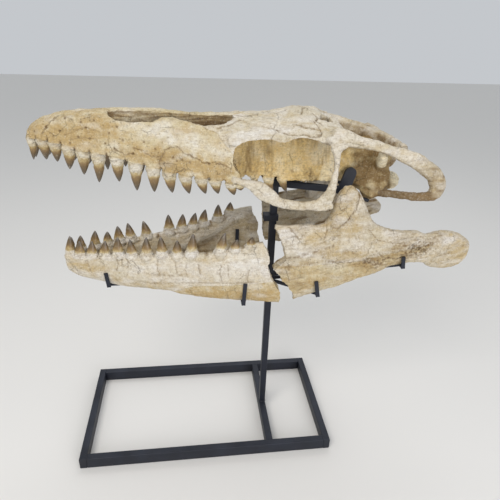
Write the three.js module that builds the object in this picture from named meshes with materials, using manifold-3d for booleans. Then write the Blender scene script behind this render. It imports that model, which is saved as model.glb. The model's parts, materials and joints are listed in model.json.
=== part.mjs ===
// Fossil mosasaur skull with open jaws, carried by a welded steel stand.
// Millimetres, +Z up. The origin is on the floor, under the middle of the post.
// The snout points along -X and the animal's left side faces -Y.
import * as THREE from 'three';
import { mergeVertices } from 'three/addons/utils/BufferGeometryUtils.js';
import Module from 'manifold-3d';

const wasm = await Module();
wasm.setup();

// ---- Driving dimensions -------------------------------------------------

const GAP = 0.35;               // clearance between pieces that touch
const MIDLINE = 0.4;            // half the gap between a left and a right bone
const FAR = 400;                // reach of a cutting prism

// Stand: 20 x 35 box section, 18 mm square post.
const BASE = { left: -540, right: 180, front: -176, back: 192, width: 20, height: 35 };
const POST = { size: 18, top: 788 };
const COLLAR = { reach: 26, back: 12, half: 14, bottom: 675, top: 691 };
const HUB = { half: 13, bottom: 490, top: 512 };
const YOKE = { z: 776, width: 10, height: 17, padX: 156, padY: 57, padTopX: 170, padTop: 833 };
const ROD = { half: 4, z: 501 };
const STRAP = { half: 5, thick: 3.6 };

// Upper skull, outer surface: x, crown z, shoulder y, shoulder z, half width, lower edge z.
const SNOUT = [
  [-573, 899, 3, 897, 7, 891],
  [-567, 910, 9, 906, 17, 888],
  [-552, 923, 15, 916, 27, 888],
  [-533, 932, 21, 923, 36, 888],
  [-500, 942, 28, 931, 46, 882],
  [-460, 948, 35, 935, 56, 869],
  [-415, 952, 40, 938, 66, 864],
  [-375, 954, 43, 938, 75, 857],
  [-335, 954, 46, 930, 83, 846],
  [-290, 953, 50, 930, 90, 836],
  [-250, 950, 54, 936, 97, 827],
  [-200, 945, 60, 930, 104, 819],
  [-150, 944, 80, 924, 110, 813],
  [-118, 946, 101, 914, 115, 808],
  [-92, 947, 113, 907, 117, 804],
];
// Roof over the orbits: x, crown z, rim y, rim z, thickness at the rim.
const ROOF = [
  [-128, 945, 108, 907, 16],
  [-100, 947, 114, 905, 14],
  [-60, 948, 119, 912, 13],
  [-20, 950, 123, 908, 14],
  [8, 955, 126, 912, 15],
  [32, 960, 129, 918, 16],
  [56, 961, 131, 917, 16],
  [78, 960, 133, 915, 18],
  [104, 951, 135, 921, 24],
  [128, 944, 135, 925, 26],
];
// Nostril in plan, on the side of positive y, and the height of its floor.
const NARIS = [
  [-392, 14], [-112, 14], [-108, 34], [-118, 48], [-143, 61], [-177, 63], [-205, 51],
  [-229, 44], [-248, 35], [-266, 38], [-284, 43], [-310, 44], [-345, 45], [-372, 42],
  [-388, 32],
];
const NARIS_FLOOR = 913;
const BAR_HALF = 14;            // half width of the bar between the nostrils
const ORBIT = [
  [-101, 902], [-79, 909], [-57, 912], [-36, 911], [-20, 907], [-7, 906], [8, 912],
  [29, 917], [52, 915], [70, 909], [87, 900], [98, 890], [103, 876], [112, 850], [112, 700],
  [-60, 700], [-96, 790], [-103, 833], [-113, 843], [-119, 860], [-114, 890],
];
const WALL = { outer: 54, thick: 13, top: 935 };
// Lower edge of the side wall behind the orbit: x, z.
const WALL_EDGE = [[-135, 812], [-100, 810], [-60, 806], [20, 801], [132, 795]];

// Cheek: jugal centreline x, y, z, half height in the plane of the cheek, half thickness.
const JUGAL = [
  [-118, 112, 822, 7, 6],
  [-100, 113, 816, 6.5, 7],
  [-82, 114, 811, 10, 7.5],
  [-64, 116, 803, 15, 8],
  [-48, 118, 793, 18, 8],
  [-33, 120, 783, 16, 8],
  [-16, 122, 772, 12, 8],
  [14, 125, 764, 10, 8],
  [48, 129, 762, 9.5, 8],
  [76, 131, 765, 12, 8],
  [93, 133, 776, 15, 8],
  [103, 134, 795, 11, 7.5],
  [108, 134, 821, 7.5, 7],
  [110, 134, 850, 5, 6],
  [110, 134, 876, 6, 6],
];
const JUGAL_CORNER = [
  [58, 130, 760, 8, 7.5],
  [84, 132, 759, 7.5, 7.5],
  [107, 134, 764, 7, 7.5],
];
const POSTORBITAL_BAR = [
  [110, 133, 868, 5.5, 6],
  [109, 133, 881, 7.5, 6.5],
  [107, 133, 893, 13, 7.5],
  [109, 133, 905, 24, 8.5],
  [110, 133, 917, 31, 9],
];
const TEMPORAL_BAR = [
  [98, 130, 925, 15, 9],
  [118, 133, 921, 18, 9],
  [140, 135, 914, 14, 9],
  [165, 137, 908, 12, 8.5],
];
const SUSPENSORIUM = [
  [163, 137, 909, 12, 8.5],
  [196, 138, 903, 11, 9],
  [224, 138, 894, 11, 10],
  [254, 139, 884, 14, 11],
  [288, 138, 871, 17, 12],
  [321, 137, 852, 18, 13],
  [348, 136, 829, 18.5, 13],
  [358, 135, 805, 18, 12],
  [350, 134, 786, 13, 11],
  [327, 130, 781, 10, 9],
  [301, 110, 777, 9, 8],
  [282, 81, 771, 9, 8],
  [264, 56, 765, 10, 8],
  [250, 38, 762, 11, 9],
];
const PARIETAL = [
  [84, 0, 938, 16, 44],
  [106, 0, 931, 16, 31],
  [126, 0, 926, 17, 21],
  [150, 0, 921, 18, 17],
  [200, 0, 907, 17, 15],
  [232, 0, 897, 16, 21],
  [262, 0, 889, 13, 34],
];
const RAMUS = [
  [248, 6, 895, 14, 14],
  [256, 40, 894, 13, 12],
  [262, 80, 892, 12, 11],
  [266, 118, 890, 12, 11],
];
const PAROCCIPITAL = [
  [252, 16, 828, 14, 12],
  [244, 54, 838, 13, 12],
  [230, 92, 856, 12, 11],
  [218, 126, 881, 11, 9],
];
// Braincase: x, top z, bottom z, half width.
const BRAINCASE = [
  [133, 914, 798, 44],
  [160, 908, 791, 48],
  [186, 902, 776, 50],
  [212, 897, 759, 54],
  [236, 891, 747, 58],
  [258, 884, 740, 58],
  [276, 872, 750, 50],
];
const BRAINCASE_TAPER = { from: 862, to: 914, loss: 0.55 };  // it narrows towards its top
const CONDYLE = { x: 294, z: 780, radius: 25, stretch: 1.25 };

// Upper teeth: place along the edge, length below the edge, lean of the tip along x.
const UPPER_TEETH = [
  [-560, 50, -9], [-533, 47, -4], [-506, 45, -2], [-477, 51, -12], [-446, 55, -7],
  [-413, 68, -2], [-372, 56, -1], [-332, 64, -3], [-293, 57, -3], [-258, 49, 0],
  [-222, 43, 11], [-187, 37, 11], [-156, 32, 5], [-120, 28, 8], [-102, 13, 3],
];
const PREMAXILLARY_TEETH = 2;
// Pterygoid teeth: place along the wall, length.
const PTERYGOID_TEETH = [[-100, 18], [-60, 16], [-26, 40], [8, 32], [60, 6]];
const PTERYGOID_LEAN = 0.35;    // drift of a tooth's tip along x against its length

// Lower jaw, outer half width: x, y.
const JAW_WIDTH = [
  [-536, 16], [-500, 24], [-450, 33], [-398, 44], [-350, 56], [-300, 68], [-240, 80],
  [-190, 92], [-140, 104], [-60, 113], [0, 117], [100, 126], [200, 129], [300, 126],
  [400, 118], [500, 108],
];
// Front half of the jaw: x, top z, bottom z, thickness.
const DENTARY = [
  [-534, 597, 558, 14],
  [-527, 596, 547, 17],
  [-508, 592, 535, 20],
  [-480, 590, 527, 23],
  [-450, 592, 520, 25],
  [-415, 597, 511, 27],
  [-370, 600, 506, 29],
  [-330, 602, 507, 31],
  [-285, 609, 506, 32],
  [-240, 613, 497, 33],
  [-190, 620, 493, 34],
  [-140, 630, 493, 34],
  [-92, 642, 490, 34],
  [-50, 655, 488, 33],
  [20, 668, 482, 32],
];
const DENTARY_BREAK = [[-44, 700], [-44, 662], [-32, 638], [-23, 622], [-28, 596], [-17, 565],
  [-7, 542], [7, 523], [9, 504], [6, 470]];
const SPLENIAL_LINE = [[-300, 470], [-262, 508], [-220, 526], [-180, 535], [-92, 544],
  [-20, 552], [40, 556]];
// Lower teeth: place along the jaw, length above the edge, lean of the tip along x. The left
// half has lost the one before its last three.
const LEFT_LOWER_TEETH = [
  [-519, 49, 3], [-494, 40, 1], [-464, 41, 2], [-432, 39, 2], [-397, 48, 2], [-362, 42, -2],
  [-325, 49, 2], [-286, 48, 3], [-249, 36, 2], [-213, 52, 3], [-142, 48, 4], [-108, 24, 3],
  [-70, 20, 4],
];
const RIGHT_LOWER_TEETH = [
  [-520, 36, 3], [-497, 40, 2], [-462, 46, 2], [-430, 33, 2], [-401, 42, 0], [-372, 45, -4],
  [-331, 44, -2], [-272, 47, 0], [-238, 42, 2], [-208, 38, 2], [-180, 40, 2], [-139, 41, 2],
  [-106, 28, 3],
];
// The right half of the jaw is held a little higher: place, height above the left half.
const RIGHT_LIFT = [[-540, 0], [-420, 11], [-140, 13], [-95, 24], [-45, 16], [0, 10], [500, 8]];
// Its rear end is lost behind a rounded break.
const RIGHT_END = { x: 333, z: 668, radius: 20, foot: [[292, 640], [262, 560], [250, 450]] };

// Rear half of the jaw: x, top z, bottom z, thickness.
const REAR_JAW = [
  [-30, 702, 483, 30],
  [20, 703, 490, 30],
  [47, 704, 497, 30],
  [80, 706, 509, 30],
  [104, 710, 517, 30],
  [113, 730, 520, 30],
  [122, 768, 524, 29],
  [134, 794, 529, 27],
  [144, 805, 532, 25],
  [156, 806, 537, 24],
  [168, 798, 542, 25],
  [184, 785, 548, 26],
  [200, 756, 554, 28],
  [214, 729, 558, 30],
  [232, 709, 563, 32],
  [256, 695, 571, 34],
  [296, 684, 587, 37],
  [350, 680, 594, 38],
  [382, 670, 591, 36],
  [404, 674, 579, 38],
  [436, 675, 570, 40],
  [466, 667, 568, 38],
  [492, 654, 580, 30],
  [508, 634, 604, 16],
];
const REAR_BREAK = [[-60, 730], [-13, 730], [-13, 701], [7, 658], [18, 613], [-12, 587],
  [6, 567], [34, 530], [47, 503], [47, 470], [-60, 470]];
const RIGHT_REAR_BREAK = [[-60, 740], [-14, 740], [-12, 680], [-9, 629], [-4, 572], [64, 562],
  [80, 470], [-60, 470]];
const ANGULAR_LINE = [[-40, 598], [60, 598], [200, 612], [300, 634], [420, 652]];
const ARTICULAR_LINE = [[404, 720], [400, 676], [388, 645], [360, 612], [352, 560]];
const CORONOID_LEAF = [[106, 698], [114, 742], [118, 790], [140, 818], [172, 808], [180, 788],
  [172, 756], [152, 722], [128, 696]];
const SECTION_POWER = 2.5;      // squareness of a bone's cross section
const TOOTH_SIDES = 5;
const JAW_SIDES = 10;
const IVORY = 0xddd2bb;
const TAN = 0xcdb78c;
const UMBER = 0xa9925f;
const STEEL = 0x2d3038;

// ---- Geometry helpers ---------------------------------------------------

// Values of a table at one place, straight between its rows.
function rowAt(table, x) {
  const last = table.length - 1;
  const next = Math.min(Math.max(table.findIndex((row) => row[0] >= x), 1), last);
  const upper = x > table[last][0] ? last : next;
  const [low, high] = [table[upper - 1], table[upper]];
  const share = Math.min(Math.max((x - low[0]) / (high[0] - low[0]), 0), 1);
  return low.map((value, i) => value + (high[i] - value) * share);
}

function signedVolume(position, index) {
  const [a, b, c] = [new THREE.Vector3(), new THREE.Vector3(), new THREE.Vector3()];
  let sum = 0;
  for (let i = 0; i < index.length; i += 3) {
    a.fromBufferAttribute(position, index[i]);
    b.fromBufferAttribute(position, index[i + 1]);
    c.fromBufferAttribute(position, index[i + 2]);
    sum += a.dot(b.cross(c));
  }
  return sum / 6;
}

// A solid from any closed geometry, its faces turned outwards.
function solidOf(geometry) {
  const plain = geometry.clone();
  plain.deleteAttribute('normal');
  plain.deleteAttribute('uv');
  const welded = mergeVertices(plain, 1e-3);
  const index = Array.from(welded.index.array);
  if (signedVolume(welded.attributes.position, index) < 0) {
    for (let i = 0; i < index.length; i += 3) {
      [index[i + 1], index[i + 2]] = [index[i + 2], index[i + 1]];
    }
  }
  const vertProperties = new Float32Array(welded.attributes.position.array);
  const triVerts = new Uint32Array(index);
  return new wasm.Manifold(new wasm.Mesh({ numProp: 3, vertProperties, triVerts }));
}

function geometryOf(solid) {
  const mesh = solid.getMesh();
  const geometry = new THREE.BufferGeometry();
  geometry.setAttribute('position', new THREE.BufferAttribute(mesh.vertProperties, 3));
  geometry.setIndex(new THREE.BufferAttribute(mesh.triVerts, 1));
  return geometry;
}

// A closed surface through rings of equal count, its ends closed by fans.
function loft(rings) {
  const count = rings[0].length;
  const points = rings.flat();
  const index = [];
  rings.slice(1).forEach((_, r) => {
    for (let i = 0; i < count; i += 1) {
      const next = (i + 1) % count;
      const [a, b] = [r * count + i, r * count + next];
      index.push(a, b, a + count, b, b + count, a + count);
    }
  });
  [0, rings.length - 1].forEach((r) => {
    const centre = [0, 1, 2].map((k) => rings[r].reduce((sum, p) => sum + p[k], 0) / count);
    points.push(centre);
    for (let i = 0; i < count; i += 1) {
      const [a, b] = [r * count + i, r * count + ((i + 1) % count)];
      index.push(...(r === 0 ? [points.length - 1, b, a] : [points.length - 1, a, b]));
    }
  });
  const geometry = new THREE.BufferGeometry();
  geometry.setAttribute('position', new THREE.Float32BufferAttribute(points.flat(), 3));
  geometry.setIndex(index);
  return solidOf(geometry);
}

const powered = (value, power) => Math.sign(value) * Math.abs(value) ** (2 / power);

// A bone along a path of x, y, z, half height, half thickness. The height lies in the
// plane of the path and the up axis, unless the path itself runs mostly sideways.
function sweep(stations, { sides = 8, steps = 1, power = SECTION_POWER, mirror = 1 } = {}) {
  const centres = stations.map(([x, y, z]) => new THREE.Vector3(x, y * mirror, z));
  const curve = new THREE.CatmullRomCurve3(centres, false, 'centripetal');
  const count = (stations.length - 1) * steps;
  const rings = [];
  for (let s = 0; s <= count; s += 1) {
    const share = s / count;
    const place = share * (stations.length - 1);
    const low = Math.min(Math.floor(place), stations.length - 2);
    const [, , , halfA, halfB] = stations[low].map(
      (value, i) => value + (stations[low + 1][i] - value) * (place - low));
    const tangent = curve.getTangent(share);
    const sideways = new THREE.Vector3(0, 1, 0);
    if (Math.abs(tangent.y) > 0.75) sideways.set(1, 0, 0);
    const height = new THREE.Vector3().crossVectors(sideways, tangent).normalize();
    const across = new THREE.Vector3().crossVectors(tangent, height).normalize();
    const centre = curve.getPoint(share);
    rings.push(Array.from({ length: sides }, (_, i) => {
      const angle = ((i + 0.5) / sides) * Math.PI * 2;
      return centre.clone()
        .addScaledVector(height, halfA * powered(Math.sin(angle), power))
        .addScaledVector(across, halfB * powered(Math.cos(angle), power))
        .toArray();
    }));
  }
  return loft(rings);
}

// A prism over an outline in x and z, from one y to another.
function sidePrism(outline, from, to) {
  const shape = new THREE.Shape(outline.map(([x, z]) => new THREE.Vector2(x, z)));
  const geometry = new THREE.ExtrudeGeometry(shape, { depth: to - from, bevelEnabled: false });
  geometry.applyMatrix4(new THREE.Matrix4().set(1, 0, 0, 0, 0, 0, 1, from, 0, 1, 0, 0, 0, 0, 0, 1));
  return solidOf(geometry);
}

// A prism over an outline in x and y, from one z to another.
function planPrism(outline, from, to) {
  const shape = new THREE.Shape(outline.map(([x, y]) => new THREE.Vector2(x, y)));
  const geometry = new THREE.ExtrudeGeometry(shape, { depth: to - from, bevelEnabled: false });
  return solidOf(geometry.translate(0, 0, from));
}

function box(x0, x1, y0, y1, z0, z1) {
  const geometry = new THREE.BoxGeometry(x1 - x0, y1 - y0, z1 - z0);
  return solidOf(geometry.translate((x0 + x1) / 2, (y0 + y1) / 2, (z0 + z1) / 2));
}

const join = (solids) => solids.reduce((sum, solid) => sum.add(solid));

function boxesMeet(one, other) {
  const [a, b] = [one.boundingBox(), other.boundingBox()];
  return [0, 1, 2].every((k) => a.min[k] < b.max[k] + 1 && b.min[k] < a.max[k] + 1);
}

// Moves that carry a neighbour towards a solid, both ways where their middles agree.
function clearanceMoves(solid, other) {
  const [a, b] = [solid.boundingBox(), other.boundingBox()];
  const ways = [0, 1, 2].map((k) => {
    const apart = (a.min[k] + a.max[k] - b.min[k] - b.max[k]) / 2;
    return Math.abs(apart) < 6 ? [-GAP, GAP] : [Math.sign(apart) * GAP];
  });
  return ways[0].flatMap((x) => ways[1].flatMap((y) => ways[2].map((z) => [x, y, z])));
}

// Cut one solid by its neighbours and leave a clearance on the side they face.
function clear(solid, others) {
  return others.filter((other) => boxesMeet(solid, other)).reduce((rest, other) => {
    const moves = [[0, 0, 0], ...clearanceMoves(solid, other)];
    return moves.reduce((left, move) => left.subtract(other.translate(move)), rest);
  }, solid);
}

// The largest body of a cut solid, without crumbs.
function largest(solid) {
  const bodies = solid.decompose();
  return bodies.reduce((best, body) => (body.volume() > best.volume() ? body : best));
}

// The side of a broken line in x and z that lies below or beyond it, as a prism.
function below(line) {
  const [first, last] = [line[0], line[line.length - 1]];
  return sidePrism([...line, [last[0], 0], [first[0], 0]], -FAR, FAR);
}

function beyond(line) {
  const [first, last] = [line[0], line[line.length - 1]];
  return sidePrism([...line, [FAR * 2, last[1]], [FAR * 2, first[1]]], -FAR, FAR);
}

// ---- Upper skull --------------------------------------------------------

// One arched section of the snout, from the left edge over the crown to the right edge.
function archRing([x, crown, shoulderY, shoulderZ, half, edge]) {
  const cheek = [0, 0.2, 0.45, 0.72].map((s) => [
    half - (half - shoulderY) * s ** 1.5, edge + (shoulderZ - edge) * s]);
  const top = [1, 0.75, 0.45, 0.2].map((s) => [
    shoulderY * s, crown - (crown - shoulderZ) * s ** 1.8]);
  const side = [...cheek, ...top];
  const floor = [-0.75, -0.3, 0.3, 0.75].map((s) => [
    half * s, edge + 4 + (1 - s * s) * 0.12 * (crown - edge)]);
  return [
    ...side.map(([y, z]) => [x, -y, z]),
    [x, 0, crown],
    ...side.reverse().map(([y, z]) => [x, y, z]),
    ...floor.reverse().map(([y, z]) => [x, y, z]),
  ];
}

// One section of the roof, thin at the rim and thick in the middle.
function roofRing([x, crown, rimY, rimZ, rimThick]) {
  const top = [1, 0.8, 0.55, 0.28].map((s) => [rimY * s, crown - (crown - rimZ) * s ** 1.7]);
  const under = [0.96, 0.6, 0.3].map((s) => [
    rimY * s, crown - (crown - rimZ) * s ** 1.7 - rimThick - 14 * (1 - s)]);
  return [
    ...top.map(([y, z]) => [x, -y, z]),
    [x, 0, crown],
    ...[...top].reverse().map(([y, z]) => [x, y, z]),
    ...under.map(([y, z]) => [x, y, z]),
    ...[...under].reverse().map(([y, z]) => [x, -y, z]),
  ];
}

const edgeAt = (x) => rowAt(SNOUT, x);

// A curved cone with its root sunk in the bone. Length is negative for an upper tooth.
function tooth([x, y, z], length, lean, along, across) {
  const levels = [[-0.25, 1, 0], [0.5, 0.72, 0.35], [1, 0.09, 1]];
  return loft(levels.map(([share, scale, drift]) => Array.from({ length: TOOTH_SIDES }, (_, i) => {
    const angle = (i / TOOTH_SIDES) * Math.PI * 2;
    return [
      x + lean * drift + along * scale * Math.cos(angle),
      y + across * scale * Math.sin(angle),
      z + length * share,
    ];
  })));
}

function upperTooth([x, length, lean], side) {
  const row = edgeAt(x);
  const inset = Math.min(15, row[4] * 0.4);
  const size = 11 + length * 0.09;
  return tooth([x, side * (row[4] - inset), row[5] + 3], -length - 3, lean, size, size * 0.85);
}

function skullTop() {
  const shell = loft(SNOUT.map(archRing)).add(loft(ROOF.map(roofRing)));
  const slot = (side) => planPrism(NARIS.map(([x, y]) => [x, y * side]), NARIS_FLOOR, 1000);
  const orbits = [sidePrism(ORBIT, -FAR, -WALL.outer + 20), sidePrism(ORBIT, WALL.outer - 20, FAR)];
  return [slot(-1), slot(1), ...orbits].reduce((rest, cut) => rest.subtract(cut), shell);
}

const top = skullTop();

// Plan outlines that part the roof. The gap between two bones is cut from both.
const barPlan = [[-600, -BAR_HALF], [-96, -BAR_HALF], [-80, 0], [-96, BAR_HALF],
  [-600, BAR_HALF]];
const premaxillaRegion = sidePrism(
  [[-700, 1000], [-488, 1000], [-492, 941], [-505, 933], [-519, 921], [-530, 904], [-534, 885],
    [-541, 800], [-700, 800]],
  -FAR, FAR).add(planPrism(barPlan, 916, 1000));
const frontalHalf = [[96, 0], [90, 40], [84, 60], [62, 80], [68, 92], [74, 108], [71, 121],
  [60, 125], [41, 122], [14, 113], [-4, 103], [-37, 80], [-79, 66], [-95, 44], [-118, 14]];
const frontalRegion = planPrism(
  [...frontalHalf, ...frontalHalf.slice(1).reverse().map(([x, y]) => [x, -y])], 800, 1000);
const prefrontalRegion = sidePrism(
  [[-190, 1000], [-190, 932], [-150, 915], [-112, 868], [-60, 860], [8, 860], [8, 1000]],
  -FAR, FAR);
const postorbitalRegion = sidePrism([[8, 1000], [8, 800], [200, 800], [200, 1000]], -FAR, FAR);

function premaxilla() {
  const bone = largest(top.intersect(premaxillaRegion));
  const teeth = UPPER_TEETH.slice(0, PREMAXILLARY_TEETH);
  return join([bone, ...[-1, 1].flatMap((side) => teeth.map((t) => upperTooth(t, side)))]);
}

function frontal() {
  return largest(clear(top.intersect(frontalRegion), [premaxillaRegion]));
}

const halfSpace = (side) => (side < 0
  ? box(-700, 700, -FAR, -MIDLINE, 0, 1200) : box(-700, 700, MIDLINE, FAR, 0, 1200));

function prefrontal(side) {
  const part = top.intersect(prefrontalRegion).intersect(halfSpace(side));
  return largest(clear(part, [premaxillaRegion, frontalRegion]));
}

function maxilla(side, premaxillaSolid) {
  const part = top.intersect(halfSpace(side));
  const rest = clear(part, [premaxillaRegion, frontalRegion, prefrontalRegion,
    postorbitalRegion]);
  const bone = largest(rest.subtract(box(-100, 300, -WALL.outer - 12, WALL.outer + 12, 600, 1000)));
  const teeth = UPPER_TEETH.slice(PREMAXILLARY_TEETH).map((t) => upperTooth(t, side));
  return largest(clear(join([bone, ...teeth]), [premaxillaSolid]));
}

function postorbital(side) {
  const part = top.intersect(postorbitalRegion).intersect(halfSpace(side));
  const rim = largest(clear(part, [frontalRegion, prefrontalRegion])
    .subtract(box(80, 112, -70, 70, 700, 1000)).subtract(box(112, 300, -34, 34, 700, 1000)));
  const bars = [sweep(POSTORBITAL_BAR, { mirror: side }), sweep(TEMPORAL_BAR, { mirror: side })];
  return largest(join([rim, ...bars]));
}

function jugal(side, neighbours) {
  const bars = [JUGAL, JUGAL_CORNER].map((rows) => sweep(rows, { mirror: side }));
  return largest(clear(join(bars), neighbours));
}

function suspensorium(side, neighbours) {
  return largest(clear(sweep(SUSPENSORIUM, { mirror: side }), neighbours));
}

function parietal(neighbours) {
  const table = sweep(PARIETAL);
  const rami = [-1, 1].map((side) => sweep(RAMUS, { mirror: side }));
  return largest(clear(join([table, ...rami]), neighbours));
}

function braincase(neighbours) {
  const ring = ([x, high, low, half]) => Array.from({ length: 12 }, (_, i) => {
    const angle = ((i + 0.5) / 12) * Math.PI * 2;
    const z = (high + low) / 2 + ((high - low) / 2) * powered(Math.sin(angle), 4);
    const { from, to, loss } = BRAINCASE_TAPER;
    const share = 1 - loss * Math.min(Math.max((z - from) / (to - from), 0), 1);
    return [x, half * share * powered(Math.cos(angle), 4), z];
  });
  const condyle = new THREE.SphereGeometry(CONDYLE.radius, 10, 7);
  condyle.scale(CONDYLE.stretch, 1.1, 0.95).translate(CONDYLE.x, 0, CONDYLE.z);
  const wings = [-1, 1].map((side) => sweep(PAROCCIPITAL, { mirror: side }));
  return largest(clear(join([loft(BRAINCASE.map(ring)), solidOf(condyle), ...wings]), neighbours));
}

// Side wall behind the orbit with the row of small teeth under it.
function pterygoid(side, neighbours) {
  const { outer, thick, top: high } = WALL;
  const outline = [[WALL_EDGE[0][0], high], ...WALL_EDGE, [WALL_EDGE.at(-1)[0], high]];
  const faces = side < 0 ? [-outer, -outer + thick] : [outer - thick, outer];
  const y = side * (outer - thick / 2);
  const teeth = PTERYGOID_TEETH.map(([x, length]) => tooth(
    [x, y, rowAt(WALL_EDGE, x)[1] + 10], -length - 10, length * PTERYGOID_LEAN,
    6 + length * 0.12, 5.5));
  const plate = sidePrism(outline, ...faces);
  return largest(clear(join([plate, ...teeth]), neighbours));
}

// ---- Lower jaw ----------------------------------------------------------

const lift = (x, side) => (side < 0 ? 0 : rowAt(RIGHT_LIFT, x)[1]);

function jawRing([x, high, low, thick], side) {
  const outer = rowAt(JAW_WIDTH, x)[1];
  const middle = (high + low) / 2 + lift(x, side);
  return Array.from({ length: JAW_SIDES }, (_, i) => {
    const angle = ((i + 0.5) / JAW_SIDES) * Math.PI * 2;
    return [x, side * (outer - thick / 2 + (thick / 2) * powered(Math.cos(angle), SECTION_POWER)),
      middle + ((high - low) / 2) * powered(Math.sin(angle), SECTION_POWER)];
  });
}

function lowerTooth([x, length, lean], side) {
  const [, high, , thick] = rowAt(DENTARY, x);
  const outer = rowAt(JAW_WIDTH, x)[1];
  const size = 12 + length * 0.07;
  const root = [x, side * (outer - thick / 2), high - 3 + lift(x, side)];
  return tooth(root, length + 3, lean, size, Math.min(size, thick * 0.4));
}

function frontJaw(side) {
  const whole = loft(DENTARY.map((row) => jawRing(row, side)));
  const broken = whole.subtract(beyond(DENTARY_BREAK));
  const rows = side < 0 ? LEFT_LOWER_TEETH : RIGHT_LOWER_TEETH;
  const teeth = rows.map((t) => lowerTooth(t, side));
  const low = below(SPLENIAL_LINE);
  return {
    dentary: largest(join([largest(clear(broken, [low])), ...teeth])),
    splenial: largest(broken.intersect(low)),
  };
}

// The lost rear end of the right half: all that lies past a round break.
function rightLoss() {
  const { x, z, radius, foot } = RIGHT_END;
  const arc = Array.from({ length: 7 }, (_, i) => {
    const angle = Math.PI * (0.5 - i / 6);
    return [x - radius + radius * Math.cos(angle), z + radius * Math.sin(angle)];
  });
  return sidePrism([[arc[0][0], 900], ...arc, ...foot, [700, 450], [700, 900]], 0, FAR);
}

function rearJaw(side) {
  const whole = loft(REAR_JAW.map((row) => jawRing(row, side)));
  const broken = side < 0 ? whole.subtract(sidePrism(REAR_BREAK, -FAR, FAR))
    : whole.subtract(sidePrism(RIGHT_REAR_BREAK, -FAR, FAR)).subtract(rightLoss());
  const low = below(ANGULAR_LINE);
  const back = beyond(ARTICULAR_LINE);
  const leaf = sidePrism(CORONOID_LEAF, -FAR, FAR);
  const bones = {
    surangular: largest(clear(broken, [low, back, leaf])),
    angular: largest(clear(broken.intersect(low), [back])),
    coronoid: largest(broken.intersect(leaf)),
  };
  if (side < 0) bones.articular = largest(broken.intersect(back));
  return bones;
}

// ---- Stand --------------------------------------------------------------

// A bar of rectangular section through points, half sizes across and upright.
function bar(points, halfSide, halfUp) {
  const shape = new THREE.Shape([[-1, -1], [1, -1], [1, 1], [-1, 1]].map(
    ([a, b]) => new THREE.Vector2(a * halfUp, b * halfSide)));
  const pieces = points.slice(1).map((end, i) => {
    const from = new THREE.Vector3(...points[i]);
    const to = new THREE.Vector3(...end);
    const path = new THREE.LineCurve3(from, to);
    const along = to.clone().sub(from).normalize();
    const up = new THREE.Vector3(0, 0, 1).addScaledVector(along, -along.z).normalize();
    const side = new THREE.Vector3().crossVectors(up, along);
    const geometry = new THREE.ExtrudeGeometry(shape, {
      depth: path.getLength(), bevelEnabled: false });
    const frame = new THREE.Matrix4().makeBasis(up, side, along).setPosition(from);
    return solidOf(geometry.applyMatrix4(frame));
  });
  return join(pieces);
}

function baseBars() {
  const { left, right, front, back, width, height } = BASE;
  const [inLeft, inRight] = [left + width + GAP, right - width - GAP];
  const half = width / 2;
  return {
    stand_base_front: box(inLeft, inRight, front, front + width, 0, height),
    stand_base_back: box(inLeft, inRight, back - width, back, 0, height),
    stand_base_left: box(left, left + width, front, back, 0, height),
    stand_base_right: box(right - width, right, front, back, 0, height),
    stand_base_cross: box(-half, half, front + width + GAP, back - width - GAP, 0, height),
  };
}

function post() {
  const half = POST.size / 2;
  return box(-half, half, -half, half, BASE.height + GAP, POST.top);
}

function collar() {
  return box(-COLLAR.reach, COLLAR.back, -COLLAR.half, COLLAR.half, COLLAR.bottom, COLLAR.top);
}

function hub() {
  return box(-HUB.half, HUB.half, -HUB.half, HUB.half, HUB.bottom, HUB.top);
}

// Arm from the post to the side of the braincase, with an upright pad and a rest under it.
function yoke(side, neighbours) {
  const { z, width, height, padX, padY, padTopX, padTop } = YOKE;
  const y = side * (padY + 5);
  const arm = bar([[0, side * 5, z], [padX, y, z]], width / 2, height / 2);
  const lean = padTopX - padX;
  const padOutline = [[padX - 15, z - 9], [padX + 16, z - 9], [padX + 16 + lean, padTop - 8],
    [padX + 8 + lean, padTop], [padX - 8 + lean, padTop], [padX - 15 + lean, padTop - 8]];
  const faces = side < 0 ? [-padY - 8, -padY - 1] : [padY + 1, padY + 8];
  const pad = sidePrism(padOutline, ...faces);
  const rest = bar([[padX - 4, y, z - 8], [232, side * 46, 742]], 6, 4);
  return largest(clear(join([arm, pad, rest]), neighbours));
}

// Strap in the plane across the jaw at one place: up the outer side, under the bone and,
// where an inner height is given, up the inner side as well.
function strap(x, side, outerTop, innerTop, table, lean = 0) {
  const [, , bottom, thick] = rowAt(table, x);
  const low = bottom + lift(x, side);
  const outer = rowAt(JAW_WIDTH, x)[1];
  const reach = outer + STRAP.thick / 2 + 1;
  const inner = outer - thick - STRAP.thick / 2 - 1;
  const floor = low - STRAP.thick / 2 - 1;
  const half = STRAP.thick / 2;
  const points = [[x + lean, side * reach, outerTop], [x, side * reach, floor],
    [x, side * inner, floor]];
  if (innerTop) points.push([x, side * inner, innerTop]);
  const pieces = points.slice(1).map((end, i) => {
    const start = points[i];
    const [y0, y1] = [Math.min(start[1], end[1]) - half, Math.max(start[1], end[1]) + half];
    const [z0, z1] = [Math.min(start[2], end[2]) - half, Math.max(start[2], end[2]) + half];
    const shift = start[0] - x;
    const outline = [[x - STRAP.half, z0], [x + STRAP.half, z0], [x + STRAP.half + shift, z1],
      [x - STRAP.half + shift, z1]];
    return sidePrism(outline, y0, y1);
  });
  return join(pieces);
}

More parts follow.
